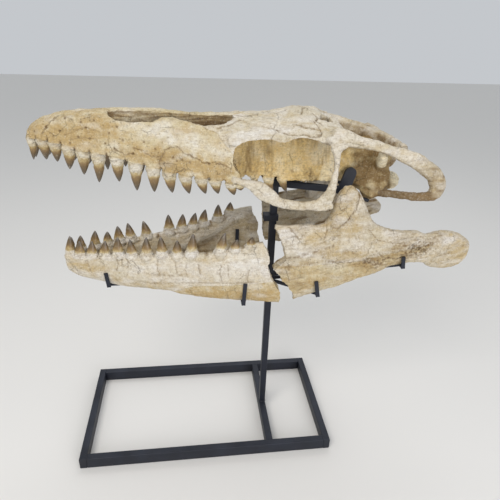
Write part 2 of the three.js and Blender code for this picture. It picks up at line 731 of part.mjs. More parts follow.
// A strap with the rod that carries it from the hub.
function carrier(x, side, outerTop, innerTop, table, start, lean, neighbours) {
  const [, , bottom, thick] = rowAt(table, x);
  const outer = rowAt(JAW_WIDTH, x)[1];
  const foot = [x, side * (outer - thick / 2), bottom + lift(x, side) - STRAP.thick / 2 - 3];
  const rod = bar([start, foot], ROD.half, ROD.half);
  return largest(clear(join([strap(x, side, outerTop, innerTop, table, lean), rod]), neighbours));
}

// ---- Assembly -----------------------------------------------------------

const skull = new THREE.Group();

function addPart(name, solid, color, roughness = 0.85, metalness = 0) {
  const material = new THREE.MeshStandardMaterial({ color, roughness, metalness });
  const mesh = new THREE.Mesh(geometryOf(solid), material);
  mesh.name = name;
  skull.add(mesh);
  return solid;
}

const snoutTip = addPart('premaxilla', premaxilla(), TAN);
const forehead = addPart('frontal', frontal(), IVORY);
const made = { roofs: [snoutTip, forehead], cheeks: [] };
const sides = [['left', -1], ['right', 1]];

sides.forEach(([name, side]) => {
  const cheek = [
    addPart(`maxilla_${name}`, maxilla(side, snoutTip), TAN),
    addPart(`prefrontal_${name}`, prefrontal(side), IVORY),
    addPart(`postorbital_${name}`, postorbital(side), IVORY),
  ];
  cheek.push(addPart(`jugal_${name}`, jugal(side, cheek), IVORY));
  cheek.push(addPart(`squamosal_${name}`, suspensorium(side, cheek), IVORY));
  made.cheeks.push(...cheek);
});

const roofs = [...made.roofs, ...made.cheeks];
roofs.push(addPart('parietal', parietal(roofs), IVORY));
roofs.push(addPart('braincase', braincase(roofs), UMBER));

sides.forEach(([name, side]) => {
  roofs.push(addPart(`pterygoid_${name}`, pterygoid(side, roofs), UMBER));
});

const jaws = [];
sides.forEach(([name, side]) => {
  const colors = { dentary: IVORY, splenial: TAN, surangular: IVORY, angular: TAN,
    articular: IVORY, coronoid: IVORY };
  Object.entries({ ...frontJaw(side), ...rearJaw(side) }).forEach(([bone, solid]) => {
    jaws.push(addPart(`${bone}_${name}`, solid, colors[bone]));
  });
});

const steel = (name, solid) => addPart(name, solid, STEEL, 0.5, 0.6);
Object.entries(baseBars()).forEach(([name, solid]) => steel(name, solid));
const upright = steel('stand_post', post());
steel('stand_collar', largest(clear(collar(), [upright])));
const block = steel('stand_hub', largest(clear(hub(), [upright])));

sides.forEach(([name, side]) => {
  const bones = [...roofs, ...jaws];
  const arm = steel(`stand_yoke_${name}`, yoke(side, [upright, ...bones]));
  const hubFace = HUB.half + 0.5;
  const places = [
    ['front', -428, 549, 0, DENTARY, [-hubFace, side * 6, ROD.z], -4],
    ['middle', -85, 547, 612, DENTARY, [-6, side * hubFace, ROD.z + 5], 3],
    ['rear', 104, 556, 0, REAR_JAW, [6, side * hubFace, ROD.z - 5], -8],
    ['back', side < 0 ? 320 : 296, 618, 0, REAR_JAW, [hubFace, side * 6, ROD.z], -4],
  ];
  const done = [upright, block, arm, ...bones];
  places.forEach(([place, x, outerTop, innerTop, table, start, lean]) => {
    const solid = carrier(x, side, outerTop, innerTop, table, start, lean, done);
    done.push(steel(`stand_clip_${place}_${name}`, solid));
  });
});

export default skull;
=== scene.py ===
"""A fossil mosasaur skull with open jaws on its welded steel stand.

The tables are in millimetres, in the part's own frame: the origin is on the floor under the
post, the snout points along -X, the animal's left side faces -Y and +Z is up.
"""

from functools import partial
import json

import bpy
import numpy as np
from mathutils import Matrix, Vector


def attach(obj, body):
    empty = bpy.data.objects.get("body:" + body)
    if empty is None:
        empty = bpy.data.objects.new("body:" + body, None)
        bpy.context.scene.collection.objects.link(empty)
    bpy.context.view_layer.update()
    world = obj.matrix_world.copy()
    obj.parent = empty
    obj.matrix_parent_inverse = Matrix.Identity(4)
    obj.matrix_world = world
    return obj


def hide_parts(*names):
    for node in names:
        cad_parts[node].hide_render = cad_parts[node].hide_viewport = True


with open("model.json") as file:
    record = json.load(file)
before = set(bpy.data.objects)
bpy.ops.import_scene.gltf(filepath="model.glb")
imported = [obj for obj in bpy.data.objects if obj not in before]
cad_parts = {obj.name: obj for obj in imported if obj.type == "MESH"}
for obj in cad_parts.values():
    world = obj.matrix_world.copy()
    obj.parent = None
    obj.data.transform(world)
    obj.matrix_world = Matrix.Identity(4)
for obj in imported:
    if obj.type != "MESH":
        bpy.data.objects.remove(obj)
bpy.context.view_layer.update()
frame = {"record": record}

MM = 0.001                      # millimetres to metres
BONE_GAP = 0.35                 # width of an open suture
STEEL_GAP = 0.3                 # width of the joints of the stand
FAR = 170                       # reach of a cutting prism to either side
LOW, HIGH = 700, 1000           # reach of a cutting prism down and up through the skull
SIDES = ((-1, "left"), (1, "right"))

# ---- Driving tables -----------------------------------------------------

BASE = {"left": -540, "right": 180, "front": -176, "back": 192, "width": 20, "height": 35}
POST = {"size": 18, "top": 788}
COLLAR = {"reach": 26, "back": 12, "half": 14, "bottom": 675, "top": 691}
HUB = {"half": 13, "bottom": 490, "top": 512}
YOKE = {"z": 776, "width": 10, "height": 17, "padX": 156, "padY": 57, "padTopX": 170,
        "padTop": 833}
PAD = {"front": 15, "back": 16, "foot": 9, "clear": 1, "thick": 7}
REST = {"x": 232, "y": 46, "z": 742, "half": 6, "high": 4}
ROD_HALF = 4
STRAP = {"half": 5, "thick": 3.6}

# Snout: x, crown z, shoulder y, shoulder z, half width, lower edge z.
SNOUT = [
    [-573, 899, 3, 897, 7, 891], [-567, 910, 9, 906, 17, 888], [-552, 923, 15, 916, 27, 888],
    [-533, 932, 21, 923, 36, 888], [-500, 942, 28, 931, 46, 882], [-460, 948, 35, 935, 56, 869],
    [-415, 952, 40, 938, 66, 864], [-375, 954, 43, 938, 75, 857], [-335, 954, 46, 930, 83, 846],
    [-290, 953, 50, 930, 90, 836], [-250, 950, 54, 936, 97, 827], [-200, 945, 60, 930, 104, 819],
    [-150, 944, 80, 924, 110, 813], [-118, 946, 101, 914, 115, 808],
    [-92, 947, 113, 907, 117, 804],
]
# Roof over the orbits: x, crown z, rim y, rim z, thickness at the rim.
ROOF = [
    [-128, 945, 108, 907, 16], [-100, 947, 114, 905, 14], [-60, 948, 119, 912, 13],
    [-20, 950, 123, 908, 14], [8, 955, 126, 912, 15], [32, 960, 129, 918, 16],
    [56, 961, 131, 917, 16], [78, 960, 133, 915, 18], [104, 951, 135, 921, 24],
    [128, 944, 135, 925, 26],
]
NARIS = [[-392, 14], [-112, 14], [-108, 34], [-118, 48], [-143, 61], [-177, 63], [-205, 51],
         [-229, 44], [-248, 35], [-266, 38], [-284, 43], [-310, 44], [-345, 45], [-372, 42],
         [-388, 32]]
NARIS_FLOOR = 913
ORBIT = [
    [-101, 902], [-79, 909], [-57, 912], [-36, 911], [-20, 907], [-7, 906], [8, 912], [29, 917],
    [52, 915], [70, 909], [87, 900], [98, 890], [103, 876], [112, 850], [112, 700], [-60, 700],
    [-96, 790], [-103, 833], [-113, 843], [-119, 860], [-114, 890],
]
# Bones along a path: x, y, z, half height in the plane of the path, half thickness.
JUGAL = [
    [-118, 112, 822, 7, 6], [-100, 113, 816, 6.5, 7], [-82, 114, 811, 10, 7.5],
    [-64, 116, 803, 15, 8], [-48, 118, 793, 18, 8], [-33, 120, 783, 16, 8],
    [-16, 122, 772, 12, 8], [14, 125, 764, 10, 8], [48, 129, 762, 9.5, 8],
    [76, 131, 765, 12, 8], [93, 133, 776, 15, 8],
    [103, 134, 795, 11, 7.5], [108, 134, 821, 7.5, 7], [110, 134, 850, 5, 6],
    [110, 134, 876, 6, 6],
]
JUGAL_CORNER = [[58, 130, 760, 8, 7.5], [84, 132, 759, 7.5, 7.5], [107, 134, 764, 7, 7.5]]
POSTORBITAL_BAR = [[110, 133, 868, 5.5, 6], [109, 133, 881, 7.5, 6.5], [107, 133, 893, 13, 7.5],
                   [109, 133, 905, 24, 8.5], [110, 133, 917, 31, 9]]
TEMPORAL_BAR = [[98, 130, 925, 15, 9], [118, 133, 921, 18, 9], [140, 135, 914, 14, 9],
                [165, 137, 908, 12, 8.5]]
SUSPENSORIUM = [
    [163, 137, 909, 12, 8.5], [196, 138, 903, 11, 9], [224, 138, 894, 11, 10],
    [254, 139, 884, 14, 11], [288, 138, 871, 17, 12], [321, 137, 852, 18, 13],
    [348, 136, 829, 18.5, 13], [358, 135, 805, 18, 12], [350, 134, 786, 13, 11],
    [327, 130, 781, 10, 9], [301, 110, 777, 9, 8], [282, 81, 771, 9, 8], [264, 56, 765, 10, 8],
    [250, 38, 762, 11, 9],
]
PARIETAL = [[84, 0, 938, 16, 44], [106, 0, 931, 16, 31], [126, 0, 926, 17, 21],
            [150, 0, 921, 18, 17], [200, 0, 907, 17, 15], [232, 0, 897, 16, 21],
            [262, 0, 889, 13, 34]]
RAMUS = [[248, 6, 895, 14, 14], [256, 40, 894, 13, 12], [262, 80, 892, 12, 11],
         [266, 118, 890, 12, 11]]
PAROCCIPITAL = [[252, 16, 828, 14, 12], [244, 54, 838, 13, 12], [230, 92, 856, 12, 11],
                [218, 126, 881, 11, 9]]
# Braincase: x, top z, bottom z, half width.
BRAINCASE = [[133, 914, 798, 44], [160, 908, 791, 48], [186, 902, 776, 50],
             [212, 897, 759, 54], [236, 891, 747, 58], [258, 884, 740, 58], [276, 872, 750, 50]]
BRAINCASE_TAPER = {"from": 862, "to": 914, "loss": 0.55}
CONDYLE = {"x": 294, "z": 780, "radius": 25}
WALL = {"outer": 54, "thick": 13, "top": 935}
# Lower edge of the side wall behind the orbit: x, z.
WALL_EDGE = [[-135, 807], [-100, 804], [-60, 802], [20, 798], [132, 795]]
# Teeth: place along the bone, length past its edge, lean of the tip along x.
UPPER_TEETH = [
    [-560, 50, -9], [-533, 47, -4], [-506, 45, -2], [-477, 51, -12], [-446, 55, -7],
    [-413, 68, -2], [-372, 56, -1], [-332, 64, -3], [-293, 57, -3], [-258, 49, 0],
    [-222, 43, 11], [-187, 37, 11], [-156, 32, 5], [-120, 28, 8], [-102, 13, 3],
]
PREMAXILLARY_TEETH = 2
PTERYGOID_TEETH = [[-100, 18], [-60, 16], [-26, 40], [8, 32], [60, 6]]
PTERYGOID_LEAN = 0.35
LOWER_TEETH = {
    -1: [[-519, 49, 3], [-494, 40, 1], [-464, 41, 2], [-432, 39, 2], [-397, 48, 2],
         [-362, 42, -2], [-325, 49, 2], [-286, 48, 3], [-249, 36, 2], [-213, 52, 3],
         [-142, 48, 4], [-108, 24, 3], [-70, 20, 4]],
    1: [[-520, 36, 3], [-497, 40, 2], [-462, 46, 2], [-430, 33, 2], [-401, 42, 0],
        [-372, 45, -4], [-331, 44, -2], [-272, 47, 0], [-238, 42, 2], [-208, 38, 2],
        [-180, 40, 2], [-139, 41, 2], [-106, 28, 3]],
}
# Lower jaw, outer half width: x, y.
JAW_WIDTH = [
    [-545, 13], [-536, 16], [-500, 24], [-450, 33], [-398, 44], [-350, 56], [-300, 68],
    [-240, 80], [-190, 92], [-140, 104], [-60, 113], [0, 117], [100, 126], [200, 129],
    [300, 126], [400, 118], [500, 108],
]
# Halves of the jaw: x, top z, bottom z, thickness.
DENTARY = [
    [-534, 597, 558, 14], [-527, 596, 547, 17], [-508, 592, 535, 20], [-480, 590, 527, 23],
    [-450, 592, 520, 25], [-415, 597, 511, 27], [-370, 600, 506, 29], [-330, 602, 507, 31],
    [-285, 609, 506, 32], [-240, 613, 497, 33], [-190, 620, 493, 34], [-140, 630, 493, 34],
    [-92, 642, 490, 34], [-50, 655, 488, 33], [20, 668, 482, 32],
]
REAR_JAW = [
    [-30, 702, 483, 30], [20, 703, 490, 30], [47, 704, 497, 30], [80, 706, 509, 30],
    [104, 710, 517, 30], [113, 730, 520, 30], [122, 768, 524, 29], [134, 794, 529, 27],
    [144, 805, 532, 25], [156, 806, 537, 24], [168, 798, 542, 25], [184, 785, 548, 26],
    [200, 756, 554, 28], [214, 729, 558, 30],
    [232, 709, 563, 32], [256, 695, 571, 34], [296, 684, 587, 37], [350, 680, 594, 38],
    [382, 670, 591, 36], [404, 674, 579, 38], [436, 675, 570, 40], [466, 667, 568, 38],
    [492, 654, 580, 30], [508, 634, 604, 16],
]
DENTARY_BREAK = [[-44, 700], [-44, 662], [-32, 638], [-23, 622], [-28, 596], [-17, 565],
                 [-7, 542], [7, 523], [9, 504], [6, 470]]
SPLENIAL_LINE = [[-300, 470], [-262, 508], [-220, 526], [-180, 535], [-92, 544], [-20, 552],
                 [40, 556]]
RIGHT_LIFT = [[-560, 0], [-540, 0], [-420, 11], [-140, 13], [-95, 24], [-45, 16], [0, 10],
              [510, 8]]
RIGHT_END = {"x": 333, "z": 668, "radius": 20, "foot": [[292, 640], [262, 560], [250, 450]]}
REAR_BREAK = [[-60, 730], [-13, 730], [-13, 701], [7, 658], [18, 613], [-12, 587], [6, 567],
              [34, 530], [47, 503], [47, 470], [-60, 470]]
RIGHT_REAR_BREAK = [[-60, 740], [-14, 740], [-12, 680], [-9, 629], [-4, 572], [64, 562],
                    [80, 470], [-60, 470]]
ANGULAR_LINE = [[-40, 598], [60, 598], [200, 612], [300, 634], [420, 652]]
ARTICULAR_LINE = [[404, 720], [400, 676], [388, 645], [360, 612], [352, 560]]
CORONOID_LEAF = [[106, 698], [114, 742], [118, 790], [140, 818], [172, 808], [180, 788],
                 [172, 756], [152, 722], [128, 696]]
# Plan and side outlines of the bones of the roof.
NOSE = [[-700, 1000], [-488, 1000], [-492, 941], [-505, 933], [-519, 921], [-530, 904],
        [-534, 885], [-541, 800], [-700, 800]]
BAR = [[-600, -14.8], [-96, -14.8], [-80, 0], [-96, 14.8], [-600, 14.8]]
FRONTAL = [[96, 0], [90, 40], [84, 60], [62, 80], [68, 92], [74, 108], [71, 121], [60, 125],
           [41, 122], [14, 113], [-4, 103], [-37, 80], [-79, 66], [-95, 44], [-118, 14]]
FRONTAL += [[x, -y] for x, y in FRONTAL[:0:-1]]
PREFRONTAL = [[-190, 1000], [-190, 932], [-150, 915], [-112, 868], [-60, 860], [8, 860],
              [8, 1000]]
POSTORBITAL = [[8, 1000], [8, 800], [200, 800], [200, 1000]]
# Open seam on each side of the forehead and cracks behind it, in plan with y positive.
SEAM = FRONTAL[3:15]
ROOF_CRACKS = [
    [[56, 4], [50, 22], [44, 38], [41, 50]], [[70, 44], [74, 62], [70, 77], [79, 86]],
    [[18, 84], [34, 96], [52, 104], [70, 107]], [[-104, 20], [-88, 28], [-70, 33]],
    [[-150, 76], [-128, 70], [-112, 56], [-96, 47]],
]
SLOT = [[-86, 25], [-72, 24], [-56, 26], [-54, 30], [-70, 32], [-84, 30]]

# Cracks on the sides of the snout, x and z, and their half width.
SNOUT_CRACKS = [
    [[-332, 879], [-318, 878], [-304, 869], [-287, 865], [-273, 865], [-265, 878], [-250, 885],
     [-236, 885]],
    [[-273, 865], [-277, 857], [-279, 849]],
    [[-183, 855], [-160, 856], [-139, 852], [-121, 846]],
    [[-236, 885], [-222, 872], [-205, 868], [-183, 855]],
    [[-374, 879], [-352, 868], [-334, 870]],
    [[-494, 938], [-511, 926], [-523, 913], [-529, 902]],
]
# Low creased ridges of the snout's cheek, x and z.
SNOUT_RIDGES = [
    [[-481, 902], [-462, 908], [-446, 916], [-430, 919], [-404, 912]],
    [[-483, 939], [-465, 936], [-456, 923], [-469, 910]],
    [[-470, 893], [-440, 899], [-412, 897]],
]
FORAMINA = [
    [-444, 929], [-416, 933], [-384, 910], [-433, 919], [-426, 897], [-451, 900], [-478, 935],
    [-491, 910], [-367, 922], [-393, 889], [-418, 882], [-374, 879], [-334, 870], [-520, 915],
    [-548, 905], [-505, 898], [-355, 896], [-310, 893], [-286, 880], [-228, 861], [-240, 857],
    [-212, 855], [-248, 864], [-170, 853], [-470, 886],
]
# Cracks of the front and the rear half of the lower jaw, x and z on the outer side.
FRONT_CRACKS = [
    [[-473, 604], [-476, 575], [-470, 548]], [[-402, 601], [-398, 575], [-404, 560]],
    [[-388, 601], [-390, 570]], [[-376, 600], [-371, 582], [-378, 566]],
    [[-327, 558], [-312, 557], [-275, 556], [-240, 560]],
    [[-297, 598], [-300, 572], [-295, 558]], [[-255, 596], [-252, 566]],
    [[-226, 595], [-231, 575], [-226, 560]], [[-198, 594], [-194, 570]],
    [[-141, 600], [-146, 575], [-140, 556]], [[-126, 598], [-124, 570]],
    [[-73, 585], [-78, 560], [-70, 548]], [[-340, 530], [-250, 536], [-160, 545], [-60, 552]],
]
REAR_CRACKS = [
    [[17, 621], [48, 625], [84, 638], [124, 655], [192, 680]], [[110, 700], [104, 668]],
    [[14, 584], [54, 602], [116, 613], [150, 608], [186, 610]],
    [[210, 700], [240, 668], [300, 655]], [[174, 800], [182, 777], [197, 761]],
    [[20, 700], [45, 672], [60, 690]], [[240, 640], [262, 620], [300, 612], [330, 622]],
]
# Edge of the raised leaf of the coronoid, and a raised oval swelling under it.
LEAF_EDGE = [[174, 804], [178, 778], [174, 753], [154, 719], [136, 702], [117, 707]]
SWELLING = {"x": 148, "z": 627, "long": 40, "high": 13}
# Patches of open pores on the outer side: x, z, reach along x, reach along z.
PORES = [[352, 640, 62, 30], [240, 606, 44, 16]]
RIM = [[392, 672], [410, 664], [417, 645], [413, 622], [400, 606]]

# Stains on the outer sides, x, z, reach along x, reach along z, strength.
SNOUT_STAINS = [
    [-520, 900, 60, 34, 0.75], [-430, 890, 60, 30, 0.6], [-300, 868, 60, 14, 0.55],
    [-200, 848, 80, 16, 0.9], [-160, 838, 60, 18, 0.55], [-400, 925, 50, 14, 0.4],
    [-215, 915, 40, 8, 0.5], [-330, 890, 26, 20, 0.3],
]
SNOUT_BLANKS = [
    [-205, 892, 22, 16, 0.9], [-265, 912, 40, 14, 0.9], [-90, 915, 44, 9, 0.8],
    [-140, 880, 30, 14, 0.4], [-330, 925, 30, 10, 0.5], [-120, 900, 30, 12, 0.4],
]
JAW_STAINS = [
    [-478, 560, 40, 16, 0.7], [-140, 508, 120, 14, 1.0], [-30, 505, 40, 20, 0.8],
    [70, 678, 34, 16, 0.9], [160, 632, 50, 14, 0.7], [60, 560, 70, 20, 0.5],
    [240, 600, 70, 18, 0.6], [150, 760, 22, 40, 0.7], [470, 615, 30, 26, 0.5],
    [310, 640, 36, 18, 0.4], [-330, 525, 50, 10, 0.4],
]
JAW_BLANKS = [
    [-200, 585, 120, 18, 0.5], [-60, 600, 50, 30, 0.7], [20, 680, 26, 26, 0.8],
    [-240, 545, 60, 8, 0.6], [440, 655, 20, 10, 0.9], [330, 655, 40, 14, 0.4],
    [60, 640, 40, 14, 0.6],
]

# Inner side of the jaw: height of its ridge along x.
INNER_RIDGE = [[-440, 535], [-302, 545], [-203, 581], [-124, 610], [-41, 650], [20, 665]]

# Roughness of bone as rows of waves: length and height. Bone has swells, dents and fine
# relief, a broken edge is coarser, and so is the cement round the root of a tooth.
BONE_GRAIN = [[20, 0.5], [9, 0.4], [5, 0.26]]
EDGE_GRAIN = [[26, 1], [9, 0.6], [5, 0.3]]
ROOT_GRAIN = [[11, 0.8], [5, 0.45]]

# Marks on the bones: half width, and how far they stand up or lie deep.
SNOUT_MARKS = {"ridge": [5, 1.8], "crease": [1.3, 1.2], "crack": [1.5, 1.7], "pit": [2.2, 2.8],
               "root": [9, 1.3], "slit": [2.2, 3.2], "naris": [3.5, 2.2]}
ROOF_MARKS = {"seam": [2, 2.4], "crack": [1.8, 3.2]}
FRONT_MARKS = {"crack": [1.4, 1.5], "ridge": [11, 4.5], "hollow": [17, 7], "pit": [4.5, 5],
               "root": [9, 1.5]}
REAR_MARKS = {"crack": [1.6, 1.6], "rim": [4, 2.6], "joint": [22, 3], "leaf": [1.7, 2.2],
              "hollow": [30, 5]}
JOINT_HOLLOW = [385, 640]       # x and z of the socket of the jaw joint, on the outer side

# ---- Surfaces -----------------------------------------------------------


def through(rows, places):
    """Each column of rows at the places, on a cubic between neighbouring rows. Its slope at a
    row is the harmonic mean of the slopes beside it, or none where they disagree."""
    rows = np.array(rows, float)
    at, values = rows[:, 0], rows[:, 1:]
    step = np.diff(at)[:, None]
    slope = np.diff(values, axis=0) / step
    before, after = slope[:-1], slope[1:]
    agree = before * after > 0
    inner = np.where(agree, 2 * before * after / np.where(agree, before + after, 1), 0)
    tangent = np.vstack([slope[:1], inner, slope[-1:]])
    k = np.clip(np.searchsorted(at, places) - 1, 0, len(at) - 2)
    t = np.clip((places - at[k]) / step[k, 0], 0, 1)[:, None]
    return ((1 + 2 * t) * (1 - t) ** 2 * values[k] + t * (1 - t) ** 2 * step[k] * tangent[k]
            + t * t * (3 - 2 * t) * values[k + 1]
            + t * t * (t - 1) * step[k] * tangent[k + 1])


def row_at(rows, place):
    """The columns of rows at one place."""
    return through(rows, np.array([place]))[0]


def columns_at(rows, places):
    """Each column of rows at the places, upright, so that it spreads over rings of points."""
    return [values[:, None] for values in through(rows, places).T]


def waves(points, length, seed, stretch=(1, 1, 1), count=22):
    """Smooth random height, mostly within -1 to 1: the mean of sine waves that run in random
    directions, about `length` mm long and `stretch` times longer along each axis."""
    random = np.random.default_rng(seed)
    way = random.normal(size=(count, 3))
    way *= (2 * np.pi / (np.linalg.norm(way, axis=1) * length
                         * random.uniform(0.7, 1.5, count)))[:, None]
    shift = random.uniform(0, 2 * np.pi, count)
    flat = points.reshape(-1, 3) / np.array(stretch, float)
    total = np.sin(flat @ way.T + shift).sum(1) / np.sqrt(count / 2) / 1.5
    return total.reshape(points.shape[:-1])


def rough(points, rows, seed, stretch=(1, 1, 1)):
    """Sum of waves, each row's length and height with a seed of its own."""
    return sum(height * waves(points, length, seed + i, stretch)
               for i, (length, height) in enumerate(rows))


def bone_grain(points, seed, stretch=(1, 1, 1)):
    """The fine relief of whole bone: waves of the lengths and heights in BONE_GRAIN."""
    return rough(points, BONE_GRAIN, seed + 1, stretch)


def shaken(flat, points, reach, length, seed):
    """Flat places moved by up to about `reach` mm in waves `length` mm long, so that a line
    drawn over them wanders."""
    return flat + reach * np.stack([waves(points, length, seed),
                                    waves(points, length, seed + 1)], -1)


def ease(value, low, high):
    """0 below low, 1 above high and a smooth step between."""
    t = np.clip((value - low) / (high - low), 0, 1)
    return t * t * (3 - 2 * t)


def bell(distance, width, height=1.0):
    """height times e to the power of minus the square of distance over width."""
    return height * np.exp(-(distance / width) ** 2)


def off_lines(flat, lines):
    """Distance of flat points from the nearest of several broken lines."""
    best = np.full(flat.shape[:-1], 1e9)
    for line in lines:
        for start, end in zip(np.array(line[:-1], float), np.array(line[1:], float)):
            way = end - start
            t = np.clip(((flat - start) @ way) / (way @ way), 0, 1)
            best = np.minimum(best, np.linalg.norm(flat - start - t[..., None] * way, axis=-1))
    return best


def off_points(flat, places):
    """Distance of flat points from the nearest of several places."""
    best = np.full(flat.shape[:-1], 1e9)
    for place in places:
        best = np.minimum(best, np.linalg.norm(flat - np.array(place, float), axis=-1))
    return best


def off_outline(flat, outline):
    """Distance of flat points from the edge of a closed outline."""
    return off_lines(flat, [outline + outline[:1]])


def patches(flat, rows):
    """Sum of bell-shaped patches: middle, reach along both axes, strength."""
    total = np.zeros(flat.shape[:-1])
    for x, z, wide, high, strength in rows:
        total += strength * np.exp(-((flat[..., 0] - x) / wide) ** 2
                                   - ((flat[..., 1] - z) / high) ** 2)
    return total


def within(flat, outline):
    """True for flat points inside a closed outline: a ray crosses its edges an odd number of
    times."""
    odd = np.zeros(flat.shape[:-1], bool)
    corners = np.array(outline, float)
    for (x0, z0), (x1, z1) in zip(corners, np.roll(corners, -1, 0)):
        if z0 == z1:
            continue
        spans = (flat[..., 1] > z0) != (flat[..., 1] > z1)
        crossing = x0 + (flat[..., 1] - z0) * (x1 - x0) / (z1 - z0)
        odd ^= spans & (flat[..., 0] < crossing)
    return odd


def side_view(points):
    """x and z of points, as seen from the side."""
    return points[..., [0, 2]]


def half_plan(points):
    """x and the distance from the middle, with both sides laid on each other."""
    return np.stack([points[..., 0], np.abs(points[..., 1])], -1)


def turns(count):
    """Angles all the way round."""
    return np.linspace(0, 2 * np.pi, count, endpoint=False)


def stations(x, y, z):
    """Rings of points: one ring of y and z at each place x."""
    return np.stack([np.broadcast_to(x[:, None], y.shape), y, z], -1)


def softened(grid, rounds):
    """The grid with the corners of its rings rounded: each round takes a point a quarter of
    the way to each of its neighbours."""
    for _ in range(rounds):
        grid = (np.roll(grid, 1, 1) + 2 * grid + np.roll(grid, -1, 1)) / 4
    return grid


def numbers_of(items, field, kind, width=1):
    """One field of all items of a mesh as rows of numbers."""
    flat = np.empty(len(items) * width, kind)
    items.foreach_get(field, flat)
    return flat.reshape(-1, width) if width > 1 else flat


def points_of(mesh):
    """The mesh's vertices in mm."""
    return numbers_of(mesh.vertices, "co", "f4", 3).astype(float) / MM


def normals_of(mesh):
    """The mesh's vertex normals."""
    return numbers_of(mesh.vertices, "normal", "f4", 3).astype(float)


def move_points(mesh, points):
    """Puts the mesh's vertices at points in mm."""
    mesh.vertices.foreach_set("co", (points * MM).astype("f4").ravel())


def mesh_object(name, points, faces):
    """An object from points in mm and arrays of faces, each array with one corner count."""
    mesh = bpy.data.meshes.new(name)
    corners = np.concatenate([rows.ravel() for rows in faces])
    sizes = np.concatenate([np.full(len(rows), rows.shape[1]) for rows in faces])
    mesh.vertices.add(len(points))
    move_points(mesh, points)
    mesh.loops.add(len(corners))
    mesh.loops.foreach_set("vertex_index", corners.astype("i4"))
    mesh.polygons.add(len(sizes))
    mesh.polygons.foreach_set("loop_start", (np.cumsum(sizes) - sizes).astype("i4"))
    mesh.update(calc_edges=True)
    obj = bpy.data.objects.new(name, mesh)
    bpy.context.scene.collection.objects.link(obj)
    return obj


def skin(name, grid):
    """A closed surface over rings of points: four-cornered faces between neighbouring rings,
    and a fan to the middle of the first and of the last ring. It is turned outwards."""
    rings, around = grid.shape[:2]
    index = np.arange(rings * around).reshape(rings, around)
    one, two = index[:-1], index[1:]
    sides = np.stack([one, np.roll(one, -1, 1), np.roll(two, -1, 1), two], -1).reshape(-1, 4)
    points = np.concatenate([grid.reshape(-1, 3), grid[[0, -1]].mean(1)])
    pole = np.full(around, rings * around)
    ends = np.concatenate([np.stack([pole, np.roll(index[0], -1), index[0]], -1),
                           np.stack([pole + 1, index[-1], np.roll(index[-1], -1)], -1)])
    a, b, c = points[np.concatenate([sides[:, [0, 1, 2]], sides[:, [0, 2, 3]], ends]).T]
    if np.einsum("ij,ij->i", a, np.cross(b, c)).sum() < 0:
        sides, ends = sides[:, ::-1], ends[:, ::-1]
    return mesh_object(name, points, [sides, ends])


def raised(grid, height):
    """The grid with every point moved outwards along its normal by its own height in mm."""
    along = np.gradient(grid, axis=0)
    around = np.roll(grid, -1, 1) - np.roll(grid, 1, 1)
    normal = np.cross(along, around)
    normal /= np.linalg.norm(normal, axis=-1, keepdims=True) + 1e-9
    outwards = (normal * (grid - grid.mean(1, keepdims=True))).sum((1, 2))
    normal *= np.sign(np.median(outwards))
    return grid + normal * height[..., None]


def rounded_ends(grid, first=0.0, last=0.0, count=7):
    """The grid with domed ends: copies of the end ring shrink by the cosine of an angle while
    they move on along the path by its sine times the dome's depth."""
    angle = np.linspace(0, np.pi / 2, count + 1)[1:] * 0.97

    def dome(ring, way, depth):
        """A ring drawn in to its middle along a quarter circle, out to a depth."""
        middle = ring.mean(0)
        return (middle + (ring - middle) * np.cos(angle)[:, None, None]
                + way * depth * np.sin(angle)[:, None, None])

    middles = grid.mean(1)
    parts = [grid]
    if first:
        way = middles[0] - middles[2]
        parts.insert(0, dome(grid[0], way / np.linalg.norm(way), first)[::-1])
    if last:
        way = middles[-1] - middles[-3]
        parts.append(dome(grid[-1], way / np.linalg.norm(way), last))
    return np.concatenate(parts)


def powered(value, power):
    """A cosine or sine raised to 2 over the power with its sign kept: squarer than a circle
    where the power is above 2."""
    return np.sign(value) * np.abs(value) ** (2 / power)


def sweep(rows, around=44, step=1.9, power=2.5, lumps=0.05, seed=0):
    """A bone along a path: at each place a superellipse of the row's half height and half
    thickness, its height in the plane of the path and the up axis. Slow random lumps make its
    size vary."""
    rows = np.array(rows, float)
    chord = np.r_[0, np.cumsum(np.linalg.norm(np.diff(rows[:, :3], axis=0), axis=1))]
    places = np.linspace(0, chord[-1], int(chord[-1] / step) + 2)
    values = through(np.column_stack([chord, rows]), places)
    centre, high, wide = values[:, :3], values[:, 3], values[:, 4]
    tangent = np.gradient(centre, axis=0)
    tangent /= np.linalg.norm(tangent, axis=1, keepdims=True)
    turn = ease(np.abs(tangent[:, 1]), 0.5, 0.9)
    sideways = np.column_stack([-turn, 1 - turn, 0 * turn])
    height = np.cross(sideways, tangent)
    height /= np.linalg.norm(height, axis=1, keepdims=True)
    across = np.cross(tangent, height)
    angle = turns(around)
    up = high[:, None] * powered(np.sin(angle), power)
    out = wide[:, None] * powered(np.cos(angle), power)
    grid = centre[:, None] + height[:, None] * up[..., None] + across[:, None] * out[..., None]
    size = np.minimum(high, wide)[:, None]
    return raised(grid, size * lumps * waves(grid, 34, seed) + bone_grain(grid, seed))


def bone_bar(name, rows, seed, ends, side=1, around=44):
    """A bone along a path with domed ends, on the side that `side` gives."""
    grid = rounded_ends(sweep(rows, around, seed=seed), *ends)
    return skin(name, grid * np.array([1, side, 1]))


